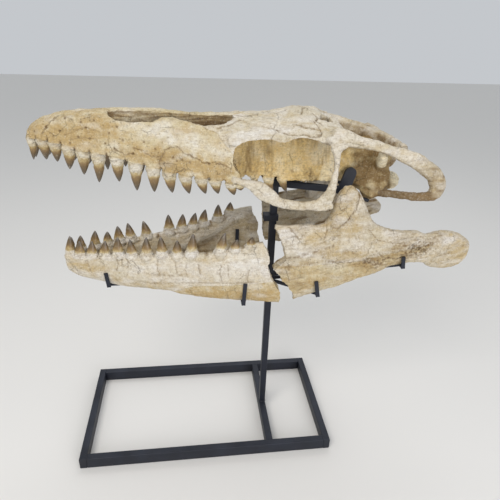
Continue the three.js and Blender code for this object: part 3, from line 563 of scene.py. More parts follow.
def prism(name, outline, low, high, axis="y", step=2.6, wobble=0.5, grown=0.0, seed=0):
    """A closed wall over an outline in x and z, carried along y, or in x and y, carried along
    z. Each point lies outside the outline by `grown` plus a random height."""
    corners = np.array(outline, float)
    closed = np.vstack([corners, corners[:1]])
    run = np.r_[0, np.cumsum(np.linalg.norm(np.diff(closed, axis=0), axis=1))]
    places = np.linspace(0, run[-1], max(int(run[-1] / step), 8), endpoint=False)
    loop = np.column_stack([np.interp(places, run, closed[:, 0]),
                            np.interp(places, run, closed[:, 1])])
    loop = softened(loop[None], 2)[0]
    way = np.roll(loop, -1, 0) - np.roll(loop, 1, 0)
    area = (loop[:, 0] * np.roll(loop[:, 1], -1) - loop[:, 1] * np.roll(loop[:, 0], -1)).sum()
    normal = np.column_stack([way[:, 1], -way[:, 0]]) * np.sign(area)
    normal /= np.linalg.norm(normal, axis=1, keepdims=True) + 1e-9
    levels = np.linspace(low, high, max(int((high - low) / step), 2))
    flat = np.broadcast_to(loop, (len(levels),) + loop.shape)
    depth = np.broadcast_to(levels[:, None], flat.shape[:2])
    solid = np.stack([flat[..., 0], depth, flat[..., 1]], -1)
    move = grown + wobble * rough(solid, EDGE_GRAIN, seed + 5)
    flat = flat + normal * move[..., None]
    order = [flat[..., 0], depth, flat[..., 1]]
    if axis == "z":
        order = [flat[..., 0], flat[..., 1], depth]
    return skin(name, np.stack(order, -1))


def block(name, x0, x1, y0, y1, z0, z1):
    """A plain box from its lower and upper x, y and z."""
    outline = [[x0, z0], [x1, z0], [x1, z1], [x0, z1]]
    return prism(name, outline, y0, y1, step=40, wobble=0)


def cuts_from_above(name, outline, low, wobble, seeds, step=2.6):
    """A prism over an outline in plan on each side of the skull, from `low` upwards."""
    return [prism(name, [[x, y * side] for x, y in outline], low, HIGH, "z", step, wobble,
                  seed=seed) for (side, _), seed in zip(SIDES, seeds)]


# ---- Joining and parting ------------------------------------------------


def combine(obj, how, *tools):
    """obj joined with, cut by or kept in common with each tool; the tools stay."""
    for tool in tools:
        step = obj.modifiers.new("combine", "BOOLEAN")
        step.operation, step.solver, step.object = how, "MANIFOLD", tool
    old = obj.data
    graph = bpy.context.evaluated_depsgraph_get()
    obj.data = bpy.data.meshes.new_from_object(obj.evaluated_get(graph))
    obj.modifiers.clear()
    bpy.data.meshes.remove(old)
    return obj


def melted(obj, cell=1.6, rounds=12):
    """obj as one skin of even cells in mm, smoothed so that its unions turn into soft webs, with
    the grain of bone put back on along the normals."""
    remesh = obj.modifiers.new("cells", "REMESH")
    remesh.mode, remesh.voxel_size = "VOXEL", cell * MM
    smooth = obj.modifiers.new("smooth", "SMOOTH")
    smooth.factor, smooth.iterations = 0.5, rounds
    combine(obj, "UNION")
    points, normals = points_of(obj.data), normals_of(obj.data)
    move_points(obj.data, points + normals * (bone_grain(points, 301) + 0.5)[:, None])
    return obj


def copied(obj, name):
    """A copy of the object with a mesh of its own."""
    copy = bpy.data.objects.new(name, obj.data.copy())
    bpy.context.scene.collection.objects.link(copy)
    return copy


def removed(*objects):
    """Deletes objects that only served as tools."""
    for obj in objects:
        bpy.data.meshes.remove(obj.data)


def main_body(obj):
    """obj without the crumbs of a cut: only its largest connected body stays."""
    mesh = obj.data
    edges = numbers_of(mesh.edges, "vertices", "i4", 2)
    root = np.arange(len(mesh.vertices))
    while True:
        a, b = root[edges[:, 0]], root[edges[:, 1]]
        if (a == b).all():
            break
        np.minimum.at(root, np.maximum(a, b), np.minimum(a, b))
        while (root != root[root]).any():
            root = root[root]
    kept = root == np.bincount(root).argmax()
    if kept.all():
        return obj
    corners = numbers_of(mesh.loops, "vertex_index", "i4")
    starts = numbers_of(mesh.polygons, "loop_start", "i4")
    number = np.cumsum(kept) - 1
    sizes = np.diff(np.r_[starts, len(corners)])
    stay = kept[corners[starts]]
    faces = [number[corners[(starts[stay & (sizes == n)][:, None] + np.arange(n))]]
             for n in np.unique(sizes[stay])]
    fresh = mesh_object(obj.name + "_main", points_of(mesh)[kept], faces)
    obj.data = fresh.data
    bpy.data.objects.remove(fresh)
    bpy.data.meshes.remove(mesh)
    return obj


pieces = {}


def keep(node_name, obj):
    """Name a finished bone after its CAD node."""
    obj.name = "fossil_" + node_name
    pieces[node_name] = main_body(obj)
    return obj


# ---- Teeth --------------------------------------------------------------

TIP_BEND = 1.8                  # power by which a tooth's axis bends to its tip
TIP_INWARD = 0.05               # lean of the tip to the middle, as a share of the length
teeth_of = {}


def tooth_width(t, flare):
    """Half width of a tooth at share t of its length, against its nominal size: the 0.75th
    power of one less t to the 1.35th power, so that it swells a little before its point. At
    the bone it flares by `flare`, and inside the bone it draws in again."""
    out, sunk = np.clip(t, 0, 1), np.clip(-t, 0, 1)
    return 1.01 * (1 - out ** 1.35) ** 0.75 + 0.035 * out + flare * np.exp(-out / 0.17) - sunk


def tooth(owner, root, length, lean, along, across, bare, flare, seed):
    """A tooth whose axis bends by lean times the 1.8th power of the share of its length. Its
    sections are ellipses, the crown's with a keel at the front and the back and faint facets."""
    t = np.r_[-0.35, -0.24, -0.15, -0.07, np.linspace(0, 1, 46)]
    angle = turns(32)
    bend = np.clip(t, 0, 1) ** TIP_BEND
    width = tooth_width(t, flare)[:, None]
    crown = ease(t, bare, bare + 0.2)[:, None]
    keel = 0.05 * np.abs(np.cos(angle)) ** 14 + 0.02 * np.cos(9 * angle + seed)
    width = width * (1 + crown * keel)
    lean = lean + 0.06 * length * np.random.default_rng(seed).normal()
    inward = np.sign(root[1]) * TIP_INWARD * abs(length)
    x = root[0] + lean * bend[:, None] + along * width * np.cos(angle)
    y = root[1] - inward * bend[:, None] + across * width * np.sin(angle)
    z = np.broadcast_to((root[2] + length * t)[:, None], x.shape)
    grid = np.stack([x, y, z], -1)
    worn = (1 - 0.8 * crown) * np.clip(1.15 - t, 0, 1)[:, None]
    grid = raised(grid, rough(grid, ROOT_GRAIN, seed) * worn)
    row = (root, length, lean, along, across, bare, flare)
    teeth_of.setdefault(owner, []).append(row)
    return skin("tooth", grid)


def upper_tooth(owner, row, side, seed):
    """A tooth of the snout. Its root is thicker on long teeth, thin at the tip of the snout,
    and lies just inside the lower edge."""
    x, length, lean = row
    _, _, _, half, edge = row_at(SNOUT, x)
    flare = 0.14
    size = min(11 + length * 0.08, 15.2, (x - SNOUT[0][0]) / 1.3)
    across = min(size * 0.85, half * 0.62)
    root = (x, side * (half + 0.6 - across * (1.01 + flare)), edge)
    return tooth(owner, root, -length, lean, size, across, 0.4, flare, seed)


def lower_tooth(owner, row, side, seed):
    """A tooth of the lower jaw, on the middle of its upper edge and no wider than 0.8 of it."""
    x, length, lean = row
    high, _, thick = row_at(DENTARY, x)
    size = min(10.5 + length * 0.08, (x - DENTARY[0][0]) / 1.32)
    middle = row_at(JAW_WIDTH, x)[0] - thick * 0.48
    root = (x, side * middle, high - 3 + lift(np.array([x]), side)[0])
    return tooth(owner, root, length + 3, lean, size, min(size, thick * 0.4), 0.42, 0.3, seed)


def palate_tooth(owner, row, side, seed):
    """A small tooth under the wall behind the orbit, bent back by a share of its length."""
    x, length = row
    root = (x, side * (WALL["outer"] - WALL["thick"] / 2), row_at(WALL_EDGE, x)[0] + 3)
    return tooth(owner, root, -length - 4, length * PTERYGOID_LEAN, 7.5 + length * 0.1, 6, 0.3,
                 0.3, seed)


def tooth_marks(owner, points):
    """For each point of a bone, the share of the crown that it lies at, 0 off the crowns, and
    1 where it lies on a cement base."""
    crown, base = np.zeros(len(points)), np.zeros(len(points))
    for root, length, lean, along, across, bare, flare in teeth_of.get(owner, []):
        t = (points[:, 2] - root[2]) / length
        bend = np.clip(t, 0, 1) ** TIP_BEND
        inward = np.sign(root[1]) * TIP_INWARD * abs(length)
        x = (points[:, 0] - root[0] - lean * bend) / along
        y = (points[:, 1] - root[1] + inward * bend) / across
        edge = bare - 0.16 + 0.02 * waves(points, 13, 71)
        on = np.hypot(x, y) < tooth_width(t, flare) * 1.12 + 0.08
        u = np.clip((t - edge) / (1 - edge), 0, 1)
        crown = np.maximum(crown, np.where(on & (t > edge), 0.004 + u, 0))
        base = np.maximum(base, on * ease(t, -0.14, 0.03) * (t <= edge))
    return crown, base


def roots_and_gaps(rows):
    """Places of the teeth along a bone, and of the middles between neighbours."""
    roots = np.array([row[0] for row in rows], float)
    return roots, (roots[1:] + roots[:-1]) / 2


# ---- Upper skull --------------------------------------------------------


def snout_grid():
    """Arched sections along x. The cheek bows out from the lower edge to the shoulder, the top
    falls away from the crown, and the palate is a shallow vault with two ridges."""
    x = np.arange(SNOUT[0][0] + 4, SNOUT[-1][0] + 0.1, 1.7)
    crown, shoulder_y, shoulder_z, half, edge = columns_at(SNOUT, x)
    s = np.linspace(0, 1, 56, endpoint=False)
    cheek_y = half - (half - shoulder_y) * s ** 1.5
    cheek_z = edge + (shoulder_z - edge) * s
    s = np.linspace(1, 0, 44, endpoint=False)
    top_y = shoulder_y * s
    top_z = crown - (crown - shoulder_z) * s ** 1.8
    side_y, side_z = np.hstack([cheek_y, top_y]), np.hstack([cheek_z, top_z])
    s = np.linspace(1, -1, 62)[1:-1]
    vault = 4 + (1 - s * s) * 0.12 * (crown - edge)
    ridge = 0.05 * (crown - edge) * bell(np.abs(s) - 0.17, 0.07)
    y = np.hstack([-side_y, 0 * crown, side_y[:, ::-1], half * s])
    z = np.hstack([side_z, crown, side_z[:, ::-1], edge + vault - ridge])
    grid = softened(stations(x, y, z), 9)
    return raised(grid, snout_relief(grid))


def off_snout_cracks(points):
    """Distance of points of the snout from its cracks, which wander."""
    return off_lines(shaken(side_view(points), points, 1.6, 9, 11), SNOUT_CRACKS)


def snout_relief(grid):
    """Grain, cracks, pits, sutures, the swellings over the tooth roots and the slits between
    them."""
    marks = SNOUT_MARKS
    from_middle = np.abs(grid[..., 1])
    over = grid[..., 2] - through(SNOUT, grid[:, 0, 0])[:, 4][:, None]
    cheek = ease(from_middle, 18, 34) * ease(over, -2, 4)
    outer = ease(from_middle, 8, 20)
    height = 1.2 * waves(grid, 60, 13, (2, 1, 1)) + bone_grain(grid, 14, (1.6, 1, 1))
    height += 0.8 * waves(grid, 26, 15, (1.6, 1, 1))
    ridge = off_lines(shaken(side_view(grid), grid, 1.6, 9, 11), SNOUT_RIDGES)
    height += cheek * (bell(ridge, *marks["ridge"]) - bell(ridge, *marks["crease"]))
    height -= cheek * bell(off_snout_cracks(grid), *marks["crack"])
    height -= cheek * bell(off_points(side_view(grid), FORAMINA), *marks["pit"])
    roots, gaps = roots_and_gaps(UPPER_TEETH)
    for x in roots:
        height += outer * bell(np.clip(over, 0, 99), 15) * bell(grid[..., 0] - x,
                                                                *marks["root"])
    for x in gaps:
        height -= outer * bell(grid[..., 0] - x, *marks["slit"]) * (1 - ease(over, 7, 15))
    rim = off_outline(half_plan(grid), NARIS)
    return height - bell(rim, *marks["naris"]) * ease(grid[..., 2], 905, 920)


def roof_grid():
    """Sections across the roof: the top falls from the crown to the rim by the 1.7th power of
    the distance from the middle, and the underside follows it one thickness lower."""
    x = np.arange(ROOF[0][0], ROOF[-1][0] + 0.1, 1.7)
    crown, rim_y, rim_z, thick = columns_at(ROOF, x)
    s = np.linspace(-1, 1, 150)
    top_z = crown - (crown - rim_z) * np.abs(s) ** 1.7
    t = np.linspace(0.985, -0.985, 110)
    low_z = crown - (crown - rim_z) * np.abs(t) ** 1.7 - thick - 14 * (1 - np.abs(t))
    y = np.hstack([rim_y * s, rim_y * t])
    z = np.hstack([top_z, low_z])
    grid = softened(stations(x, y, z), 6)
    plan = half_plan(grid)
    seam, cracks = off_roof_lines(grid)
    height = 0.8 * waves(grid, 45, 21) + bone_grain(grid, 22, (1.8, 1, 1))
    step = within(plan, FRONTAL) * ease(plan[..., 0], 20, 60) * ease(plan[..., 1], 40, 70)
    upward = ease(grid[..., 2], 896, 908)
    height += upward * (1.6 * step - bell(seam, *ROOF_MARKS["seam"])
                        - bell(cracks, *ROOF_MARKS["crack"]))
    return raised(grid, height)


def off_roof_lines(points):
    """Distance of points of the roof from its open seams and from its cracks."""
    bent = shaken(half_plan(points), points, 1.5, 11, 23)
    return off_lines(bent, [SEAM]), off_lines(bent, ROOF_CRACKS)


def upper_form():
    """The snout and the roof in one, with both nostrils and both orbits cut out."""
    roof = skin("roof_form", roof_grid())
    form = combine(skin("upper_form", rounded_ends(snout_grid(), 2, 0)), "UNION", roof)
    tools = cuts_from_above("naris_cut", NARIS, NARIS_FLOOR, 0.8, (30, 32))
    tools += [prism("orbit_cut", ORBIT, *span, wobble=0.7, seed=33)
              for span in ((-FAR, -34), (34, FAR))]
    tools += cuts_from_above("slot_cut", SLOT, 928, 0.4, (36, 36), 1.6)
    combine(form, "DIFFERENCE", *tools)
    removed(roof, *tools)
    return form


def regions(grown):
    """The cutting prisms of the bones of the roof, each as large as its bone plus `grown`."""
    nose = prism("nose", NOSE, -FAR, FAR, grown=grown, wobble=0.5, seed=41)
    bar = prism("bar", BAR, NARIS_FLOOR + 1 - grown, HIGH, "z", wobble=0.0, grown=grown)
    combine(nose, "UNION", bar)
    removed(bar)
    return {
        "premaxilla": nose,
        "frontal": prism("front", FRONTAL, 800, HIGH, "z", grown=grown, wobble=1.1, seed=42),
        "prefrontal": prism("pre", PREFRONTAL, -FAR, FAR, grown=grown, wobble=0.9, seed=43),
        "postorbital": prism("post", POSTORBITAL, -FAR, FAR, grown=grown, wobble=0.6, seed=44),
    }


def premaxilla_and_frontal(form, own, grown):
    """The two bones in the middle of the roof: the nose with its teeth, and the frontal."""
    nose = main_body(combine(copied(form, "nose_bone"), "INTERSECT", own["premaxilla"]))
    teeth = [upper_tooth("premaxilla", row, side, 500 + i * 2 + side)
             for i, row in enumerate(UPPER_TEETH[:PREMAXILLARY_TEETH]) for side, _ in SIDES]
    keep("premaxilla", combine(nose, "UNION", *teeth))
    front = combine(copied(form, "front_bone"), "INTERSECT", own["frontal"])
    keep("frontal", combine(front, "DIFFERENCE", grown["premaxilla"]))
    removed(*teeth)


def maxilla(form, half, grown, side, name):
    """The cheek that the bones of the roof leave over, hollow behind the snout, with teeth."""
    inner = block("inner", -100, 300, -66, 66, 600, HIGH)
    bone = combine(copied(form, "cheek_bone"), "INTERSECT", half)
    main_body(combine(bone, "DIFFERENCE", *grown.values(), inner))
    owner = f"maxilla_{name}"
    teeth = [upper_tooth(owner, row, side, 540 + i * 2 + side)
             for i, row in enumerate(UPPER_TEETH[PREMAXILLARY_TEETH:])]
    combine(bone, "UNION", *teeth)
    keep(owner, combine(bone, "DIFFERENCE", pieces["premaxilla"]))
    removed(inner, *teeth)


def postorbital(form, half, own, grown, side, name):
    """The rim behind the orbit, cut back from the parietal, with its two bars."""
    half_bridge = [[80, 70], [112, 70], [112, 34], [300, 34]]
    bridge = [[x, -y] for x, y in half_bridge] + half_bridge[::-1]
    rear = prism("rear", bridge, LOW, HIGH, "z", seed=45)
    rim = combine(copied(form, "rim_bone"), "INTERSECT", own["postorbital"], half)
    combine(rim, "DIFFERENCE", grown["frontal"], grown["prefrontal"], rear)
    bars = [bone_bar("bar_form", rows, seed, (4, 4), side)
            for rows, seed in ((POSTORBITAL_BAR, 61), (TEMPORAL_BAR, 62))]
    keep(f"postorbital_{name}", melted(combine(main_body(rim), "UNION", *bars)))
    removed(rear, *bars)


def upper_bones():
    """All bones cut from the snout and the roof, and the cheek and temporal bars beside them."""
    form = upper_form()
    own, grown = regions(0), regions(BONE_GAP)
    premaxilla_and_frontal(form, own, grown)
    for side, name in SIDES:
        near, far = sorted([side * 0.35, side * FAR])
        half = block("half", -700, 700, near, far, 0, 1200)
        cut = combine(copied(form, "pre_bone"), "INTERSECT", own["prefrontal"], half)
        keep(f"prefrontal_{name}",
             combine(cut, "DIFFERENCE", grown["premaxilla"], grown["frontal"]))
        maxilla(form, half, grown, side, name)
        postorbital(form, half, own, grown, side, name)
        around = [pieces[f"{bone}_{name}"] for bone in ("maxilla", "prefrontal", "postorbital")]
        cheek = bone_bar("jugal_form", JUGAL, 63, (4, 3), side)
        corner = bone_bar("corner_form", JUGAL_CORNER, 72, (5, 6), side)
        melted(combine(cheek, "UNION", corner), 1.5, 6)
        keep(f"jugal_{name}", combine(cheek, "DIFFERENCE", *around))
        loop = bone_bar("loop_form", SUSPENSORIUM, 64, (3, 5), side, 56)
        keep(f"squamosal_{name}", combine(loop, "DIFFERENCE", *around))
        removed(half, corner)
    removed(form, *own.values(), *grown.values())


def braincase_form():
    """Boxy sections along x that narrow to the top, with a lumpy face."""
    x = np.arange(BRAINCASE[0][0], BRAINCASE[-1][0] + 0.1, 1.9)
    high, low, half = columns_at(BRAINCASE, x)
    angle = turns(150)
    z = (high + low) / 2 + (high - low) / 2 * powered(np.sin(angle), 4)
    start, end, loss = BRAINCASE_TAPER.values()
    taper = 1 - loss * np.clip((z - start) / (end - start), 0, 1)
    grid = stations(x, half * taper * powered(np.cos(angle), 4), z)
    lumps = 4.2 * waves(grid, 46, 67) + 1.9 * waves(grid, 20, 68) + 0.7 * waves(grid, 10, 74) \
        + bone_grain(grid, 69)
    return skin("braincase_form", rounded_ends(raised(grid, lumps - 1.5), 3, 6))


def condyle_form():
    """The knob of the neck joint: an ellipsoid from pole to pole."""
    polar, angle = np.linspace(0.02, np.pi - 0.02, 44)[:, None], turns(150)
    reach = CONDYLE["radius"]
    ball = np.stack([CONDYLE["x"] + 1.25 * reach * np.sin(polar) * np.cos(angle),
                     1.1 * reach * np.sin(polar) * np.sin(angle),
                     CONDYLE["z"] + 0.95 * reach * np.cos(polar) + 0 * angle], -1)
    return skin("condyle_form", raised(ball, bone_grain(ball, 70)))


def wall_grid(side):
    """A plate along x with a wavy face of upright streaks. Its lower edge rises in an arch
    between neighbouring teeth."""
    x = np.arange(WALL_EDGE[0][0], WALL_EDGE[-1][0] + 0.1, 1.8)
    low = through(WALL_EDGE, x)
    for middle in roots_and_gaps(PTERYGOID_TEETH)[1][:-1]:
        low += 9 * np.exp(-(np.abs(x[:, None] - middle) / 8) ** 3)
    angle = turns(170)
    half = WALL["thick"] / 2
    y = side * (WALL["outer"] - half + half * powered(np.cos(angle), 7)) + 0 * low
    z = (WALL["top"] + low) / 2 + (WALL["top"] - low) / 2 * powered(np.sin(angle), 7)
    grid = stations(x, y, z)
    streaks = 0.5 * waves(grid, 9, 81, (1, 1, 3)) + 1.4 * waves(grid, 34, 82, (1, 1, 2))
    pitted = 0.8 * np.clip(waves(grid, 5, 84), -1, 0.2)
    return raised(grid, streaks + pitted + 1.2 * bone_grain(grid, 83))


def rear_bones():
    """The parietal with its two branches, the braincase with its knobs, and both walls."""
    before = [pieces["premaxilla"], pieces["frontal"]]
    before += [obj for part, obj in pieces.items() if part.endswith(("_left", "_right"))]
    rami = [bone_bar("ramus_form", RAMUS, 65, (4, 4), side) for side, _ in SIDES]
    table = bone_bar("parietal_form", PARIETAL, 66, (5, 6), around=90)
    melted(combine(table, "UNION", *rami))
    keep("parietal", combine(table, "DIFFERENCE", *before))

    core, condyle = braincase_form(), condyle_form()
    wings = [bone_bar("wing_form", PAROCCIPITAL, 71, (3, 3), side) for side, _ in SIDES]
    melted(combine(core, "UNION", condyle, *wings), 2, 8)
    keep("braincase", combine(core, "DIFFERENCE", *before, pieces["parietal"]))
    removed(*rami, condyle, *wings)

    around = [*before, pieces["parietal"], pieces["braincase"]]
    for side, name in SIDES:
        owner = f"pterygoid_{name}"
        wall = skin("wall_form", wall_grid(side))
        teeth = [palate_tooth(owner, row, side, 600 + i)
                 for i, row in enumerate(PTERYGOID_TEETH)]
        combine(wall, "UNION", *teeth)
        keep(owner, combine(wall, "DIFFERENCE", *around))
        removed(*teeth)


# ---- Lower jaw ----------------------------------------------------------


def lift(x, side):
    """Height of the right half of the jaw above the left one."""
    return np.zeros(len(x)) if side < 0 else through(RIGHT_LIFT, x)[:, 0]


def over_ridge(x, z):
    """Height over the ridge on the jaw's inner side, which climbs from mid height in front to
    the upper edge at the rear."""
    return z - np.interp(x, *np.transpose(INNER_RIDGE))


def along_rear_jaw(points):
    """Points turned so that x follows the rear of the jaw, which slopes up."""
    return points @ np.array([[0.97, 0, 0.24], [0, 1, 0], [-0.24, 0, 0.97]]).T


def creases(turned, side):
    """0 to 1 in fine creases along the outer side of the rear jaw."""
    return np.clip(waves(turned, 9, 106 + side, (6, 1, 1)) - 0.35, 0, 1)


def grooves(turned):
    """0 to 1 in long grooves on the inner side of the rear jaw."""
    return np.clip(waves(turned, 13, 108, (7, 1, 1)) - 0.3, 0, 1)


def off_swelling(face):
    """Distance from the middle of the raised oval, 1 on its edge."""
    return np.hypot((face[..., 0] - SWELLING["x"]) / SWELLING["long"],
                    (face[..., 1] - SWELLING["z"]) / SWELLING["high"])


def pored(face):
    """0 to 1 in the patches of open pores."""
    return np.clip(patches(face, [[*row, 1.0] for row in PORES]), 0, 1)


def jaw_grid(table, side, around, relief, swell=0.0, spare=(0, 0), step=1.9):
    """Superellipse sections along x between the jaw's upper and lower edge, inside its outer
    half width, with `spare` left free at both ends. relief gives the height of the surface
    from place, angle and side."""
    x = np.arange(table[0][0] + spare[0], table[-1][0] - spare[1] + 0.1, step)
    high, low, thick = columns_at(table, x)
    angle = turns(around)
    y = through(JAW_WIDTH, x) - thick / 2 + (thick / 2 + swell) * powered(np.cos(angle), 2.6)
    z = (high + low) / 2 + (high - low) / 2 * powered(np.sin(angle), 2.6)
    flat = stations(x, y, z)
    height = relief(flat, np.cos(angle) + 0 * y, side)
    grid = np.stack([flat[..., 0], side * y, z + lift(x, side)[:, None]], -1)
    return raised(grid, height)


def front_relief(flat, facing, side):
    """Outer side: upright cracks under the teeth and a long one below them. Inner side: a ridge
    that climbs to the rear, a hollow under it and a pit behind every tooth."""
    marks, x, z = FRONT_MARKS, flat[..., 0], flat[..., 2]
    outer, inner = ease(facing, 0.2, 0.7), ease(-facing, 0.1, 0.6)
    height = 0.6 * waves(flat, 50, 93 + side, (3, 1, 1)) + bone_grain(flat, 94 + side, (3, 1, 1))
    face = shaken(side_view(flat), flat, 1.3, 8, 91)
    height -= outer * bell(off_lines(face, FRONT_CRACKS), *marks["crack"])
    over = over_ridge(x, z)
    shelf = bell(over, *marks["ridge"]) - bell(over + 30, *marks["hollow"])
    height += inner * shelf * ease(x, -430, -330)
    roots, gaps = roots_and_gaps(LOWER_TEETH[side])
    below = z - through(DENTARY, flat[:, 0, 0])[:, 0][:, None]
    sunk = np.stack([x, below + 9], -1)
    pits = off_points(sunk, [[gap, 0] for gap in gaps])
    height -= inner * bell(pits, *marks["pit"])
    for root in roots:
        height += outer * bell(x - root, *marks["root"]) * ease(below, -16, -4)
    return height


def rear_relief(flat, facing, side):
    """Grain that follows the jaw, a few open cracks, and on the outer side of the joint a
    raised rim round a pitted hollow. The inner side has a long hollow."""
    marks, x, z = REAR_MARKS, flat[..., 0], flat[..., 2]
    face = shaken(side_view(flat), flat, 1.3, 8, 101)
    outer, inner = ease(facing, 0.2, 0.7), ease(-facing, 0.1, 0.6)
    turned = along_rear_jaw(flat)
    height = 1.3 * waves(turned, 60, 103 + side, (2.5, 1, 1))
    height += bone_grain(turned, 104 + side, (2.5, 1, 1)) * 1.3
    height -= outer * bell(off_lines(face, REAR_CRACKS), *marks["crack"])
    height += outer * bell(off_lines(face, [RIM]), *marks["rim"])
    height -= outer * bell(off_points(face, [JOINT_HOLLOW]), *marks["joint"])
    height -= outer * pored(face) * 4.5 * np.clip(waves(flat, 9, 105) + 0.1, 0, 1) ** 1.5
    height += outer * 1.8 * (1 - ease(off_swelling(face), 0.85, 1.1))
    height -= outer * 0.5 * creases(turned, side)
    height -= inner * 3.0 * grooves(turned)
    hollow = bell(z - 600 - 0.1 * x, *marks["hollow"])
    height -= inner * hollow * ease(x, -20, 60) * ease(-x, -300, -200)
    height -= outer * bell(off_lines(face, [LEAF_EDGE]), *marks["leaf"])
    return height


def lower_of(line, grown=0.0, seed=0):
    """A prism of all that lies below a line."""
    outline = [*line, [line[-1][0], 300], [line[0][0], 300]]
    return prism("low", outline, -FAR, FAR, step=2.4, wobble=0.7, grown=grown, seed=seed)


def past(line, grown=0.0, seed=0, wobble=0.7):
    """A prism of all that lies behind a line."""
    outline = [*line, [800, line[-1][1]], [800, line[0][1]]]
    return prism("past", outline, -FAR, FAR, step=2.2, wobble=wobble, grown=grown, seed=seed)


def right_loss():
    """All that lies past a round break: the lost rear end of the right half."""
    reach = RIGHT_END["radius"]
    angle = np.linspace(np.pi / 2, -np.pi / 2, 9)
    arc = np.column_stack([RIGHT_END["x"] - reach + reach * np.cos(angle),
                           RIGHT_END["z"] + reach * np.sin(angle)]).tolist()
    outline = [[arc[0][0], 900], *arc, *RIGHT_END["foot"], [700, 450], [700, 900]]
    return prism("loss", outline, 0, FAR, wobble=1.3, seed=111)


def front_jaw(side, name):
    """The dentary with its teeth and the splenial under it, broken off at the rear."""
    grid = jaw_grid(DENTARY, side, 140, front_relief, spare=(6, 0))
    whole = skin("front_jaw", rounded_ends(grid, 5, 0))
    gone = past(DENTARY_BREAK, seed=121 + side, wobble=1.5)
    combine(whole, "DIFFERENCE", gone)
    low, low_grown = [lower_of(SPLENIAL_LINE, wide, 123) for wide in (0.0, BONE_GAP)]
    keep(f"splenial_{name}", combine(copied(whole, "splenial"), "INTERSECT", low))
    owner = f"dentary_{name}"
    teeth = [lower_tooth(owner, row, side, 700 + i * 2 + side)
             for i, row in enumerate(LOWER_TEETH[side])]
    combine(whole, "DIFFERENCE", low_grown)
    keep(owner, combine(main_body(whole), "UNION", *teeth))
    removed(gone, low, low_grown, *teeth)


def rear_jaw(side, name):
    """The surangular, the angular, the leaf of the coronoid and, on the left, the articular."""
    grid = jaw_grid(REAR_JAW, side, 170, rear_relief, spare=(0, 7))
    rear = skin("rear_jaw", rounded_ends(grid, 0, 5))
    broken = prism("break", REAR_BREAK if side < 0 else RIGHT_REAR_BREAK, -FAR, FAR,
                   wobble=1.5, seed=131)
    tools = [broken] if side < 0 else [broken, right_loss()]
    combine(rear, "DIFFERENCE", *tools)
    leaf_form = skin("leaf_jaw", jaw_grid(REAR_JAW, side, 170, rear_relief, 2.4))
    leaf, leaf_grown = [prism("leaf", CORONOID_LEAF, -FAR, FAR, wobble=0.7, grown=wide,
                              seed=132) for wide in (0.0, BONE_GAP)]
    low, low_grown = [lower_of(ANGULAR_LINE, wide, 133) for wide in (0.0, BONE_GAP)]
    back, back_grown = [past(ARTICULAR_LINE, wide, 134) for wide in (0.0, BONE_GAP)]
    bone = copied(rear, "surangular")
    keep(f"surangular_{name}", combine(bone, "DIFFERENCE", low_grown, back_grown, leaf_grown))
    bone = combine(copied(rear, "angular"), "INTERSECT", low)
    keep(f"angular_{name}", combine(bone, "DIFFERENCE", back_grown))
    keep(f"coronoid_{name}", combine(leaf_form, "INTERSECT", leaf))
    if side < 0:
        keep(f"articular_{name}", combine(copied(rear, "articular"), "INTERSECT", back))
    removed(rear, *tools, leaf, leaf_grown, low, low_grown, back, back_grown)


upper_bones()
rear_bones()
for jaw_side, jaw_name in SIDES:
    front_jaw(jaw_side, jaw_name)
    rear_jaw(jaw_side, jaw_name)

# ---- Stand --------------------------------------------------------------


def tube(points, half_side, half_up, corner=1.6, step=6.0):
    """A rectangular tube with rounded corners from one point to another: each section is a
    quarter circle moved out to each corner, and both ends are slightly drawn in."""
    points = np.array(points, float)
    total = np.linalg.norm(points[1] - points[0])
    along = (points[1] - points[0]) / total
    up = np.array([0, 0, 1]) - along * along[2]
    if np.linalg.norm(up) < 0.2:
        up = np.array([1, 0, 0]) - along * along[0]
    up /= np.linalg.norm(up)
    side = np.cross(up, along)
    quarter = np.linspace(0, np.pi / 2, 5)
    corners = [(1, 1, 0), (-1, 1, 1), (-1, -1, 2), (1, -1, 3)]
    a = np.concatenate([sa * (half_side - corner) + corner * np.cos(quarter + q * np.pi / 2)
                        for sa, _, q in corners])
    b = np.concatenate([sb * (half_up - corner) + corner * np.sin(quarter + q * np.pi / 2)
                        for _, sb, q in corners])
    places = np.linspace(corner * 0.5, total - corner * 0.5, max(int(total / step), 2))
    places = np.r_[0, places, total]
    shrink = np.ones(len(places))
    shrink[[0, -1]] = 1 - corner * 0.5 / max(half_side, half_up)
    return (points[0] + along * places[:, None, None]
            + side * (a * shrink[:, None])[..., None] + up * (b * shrink[:, None])[..., None])


def weld(start, end, size=2.2):
    """A bead of weld metal: a round rod that swells at every ripple, 3.4 mm apart."""
    start, end = np.array(start, float), np.array(end, float)
    total = np.linalg.norm(end - start)
    along = (end - start) / total
    helper = np.array([0, 0, 1.0]) if abs(along[2]) < 0.9 else np.array([1.0, 0, 0])
    up = np.cross(along, np.cross(helper, along))
    side = np.cross(up, along)
    places = np.linspace(0, total, int(total / 0.9) + 4)
    angle = turns(12)
    ripple = size * (1 + 0.1 * np.cos(places * 2 * np.pi / 3.4))
    ripple *= np.sqrt(np.clip(1 - (2 * places / total - 1) ** 8, 0.02, 1))
    return (start + along * places[:, None, None]
            + (ripple[:, None] * np.cos(angle))[..., None] * up
            + (ripple[:, None] * np.sin(angle))[..., None] * side)


def strap(start, end, half_x, half):
    """A flat bar whose width lies along x: a rounded rectangle carried from end to end."""
    way = (end - start) / np.linalg.norm(end - start)
    flat = np.array([1.0, 0, 0]) - way * way[0]
    flat /= np.linalg.norm(flat)
    out = np.cross(way, flat)
    u = half_x * powered(np.cos(turns(28)), 7)
    v = half * powered(np.sin(turns(28)), 7)
    places = np.linspace(0, 1, 9)[:, None, None]
    return start + (end - start) * places + flat * u[:, None] + out * v[:, None]


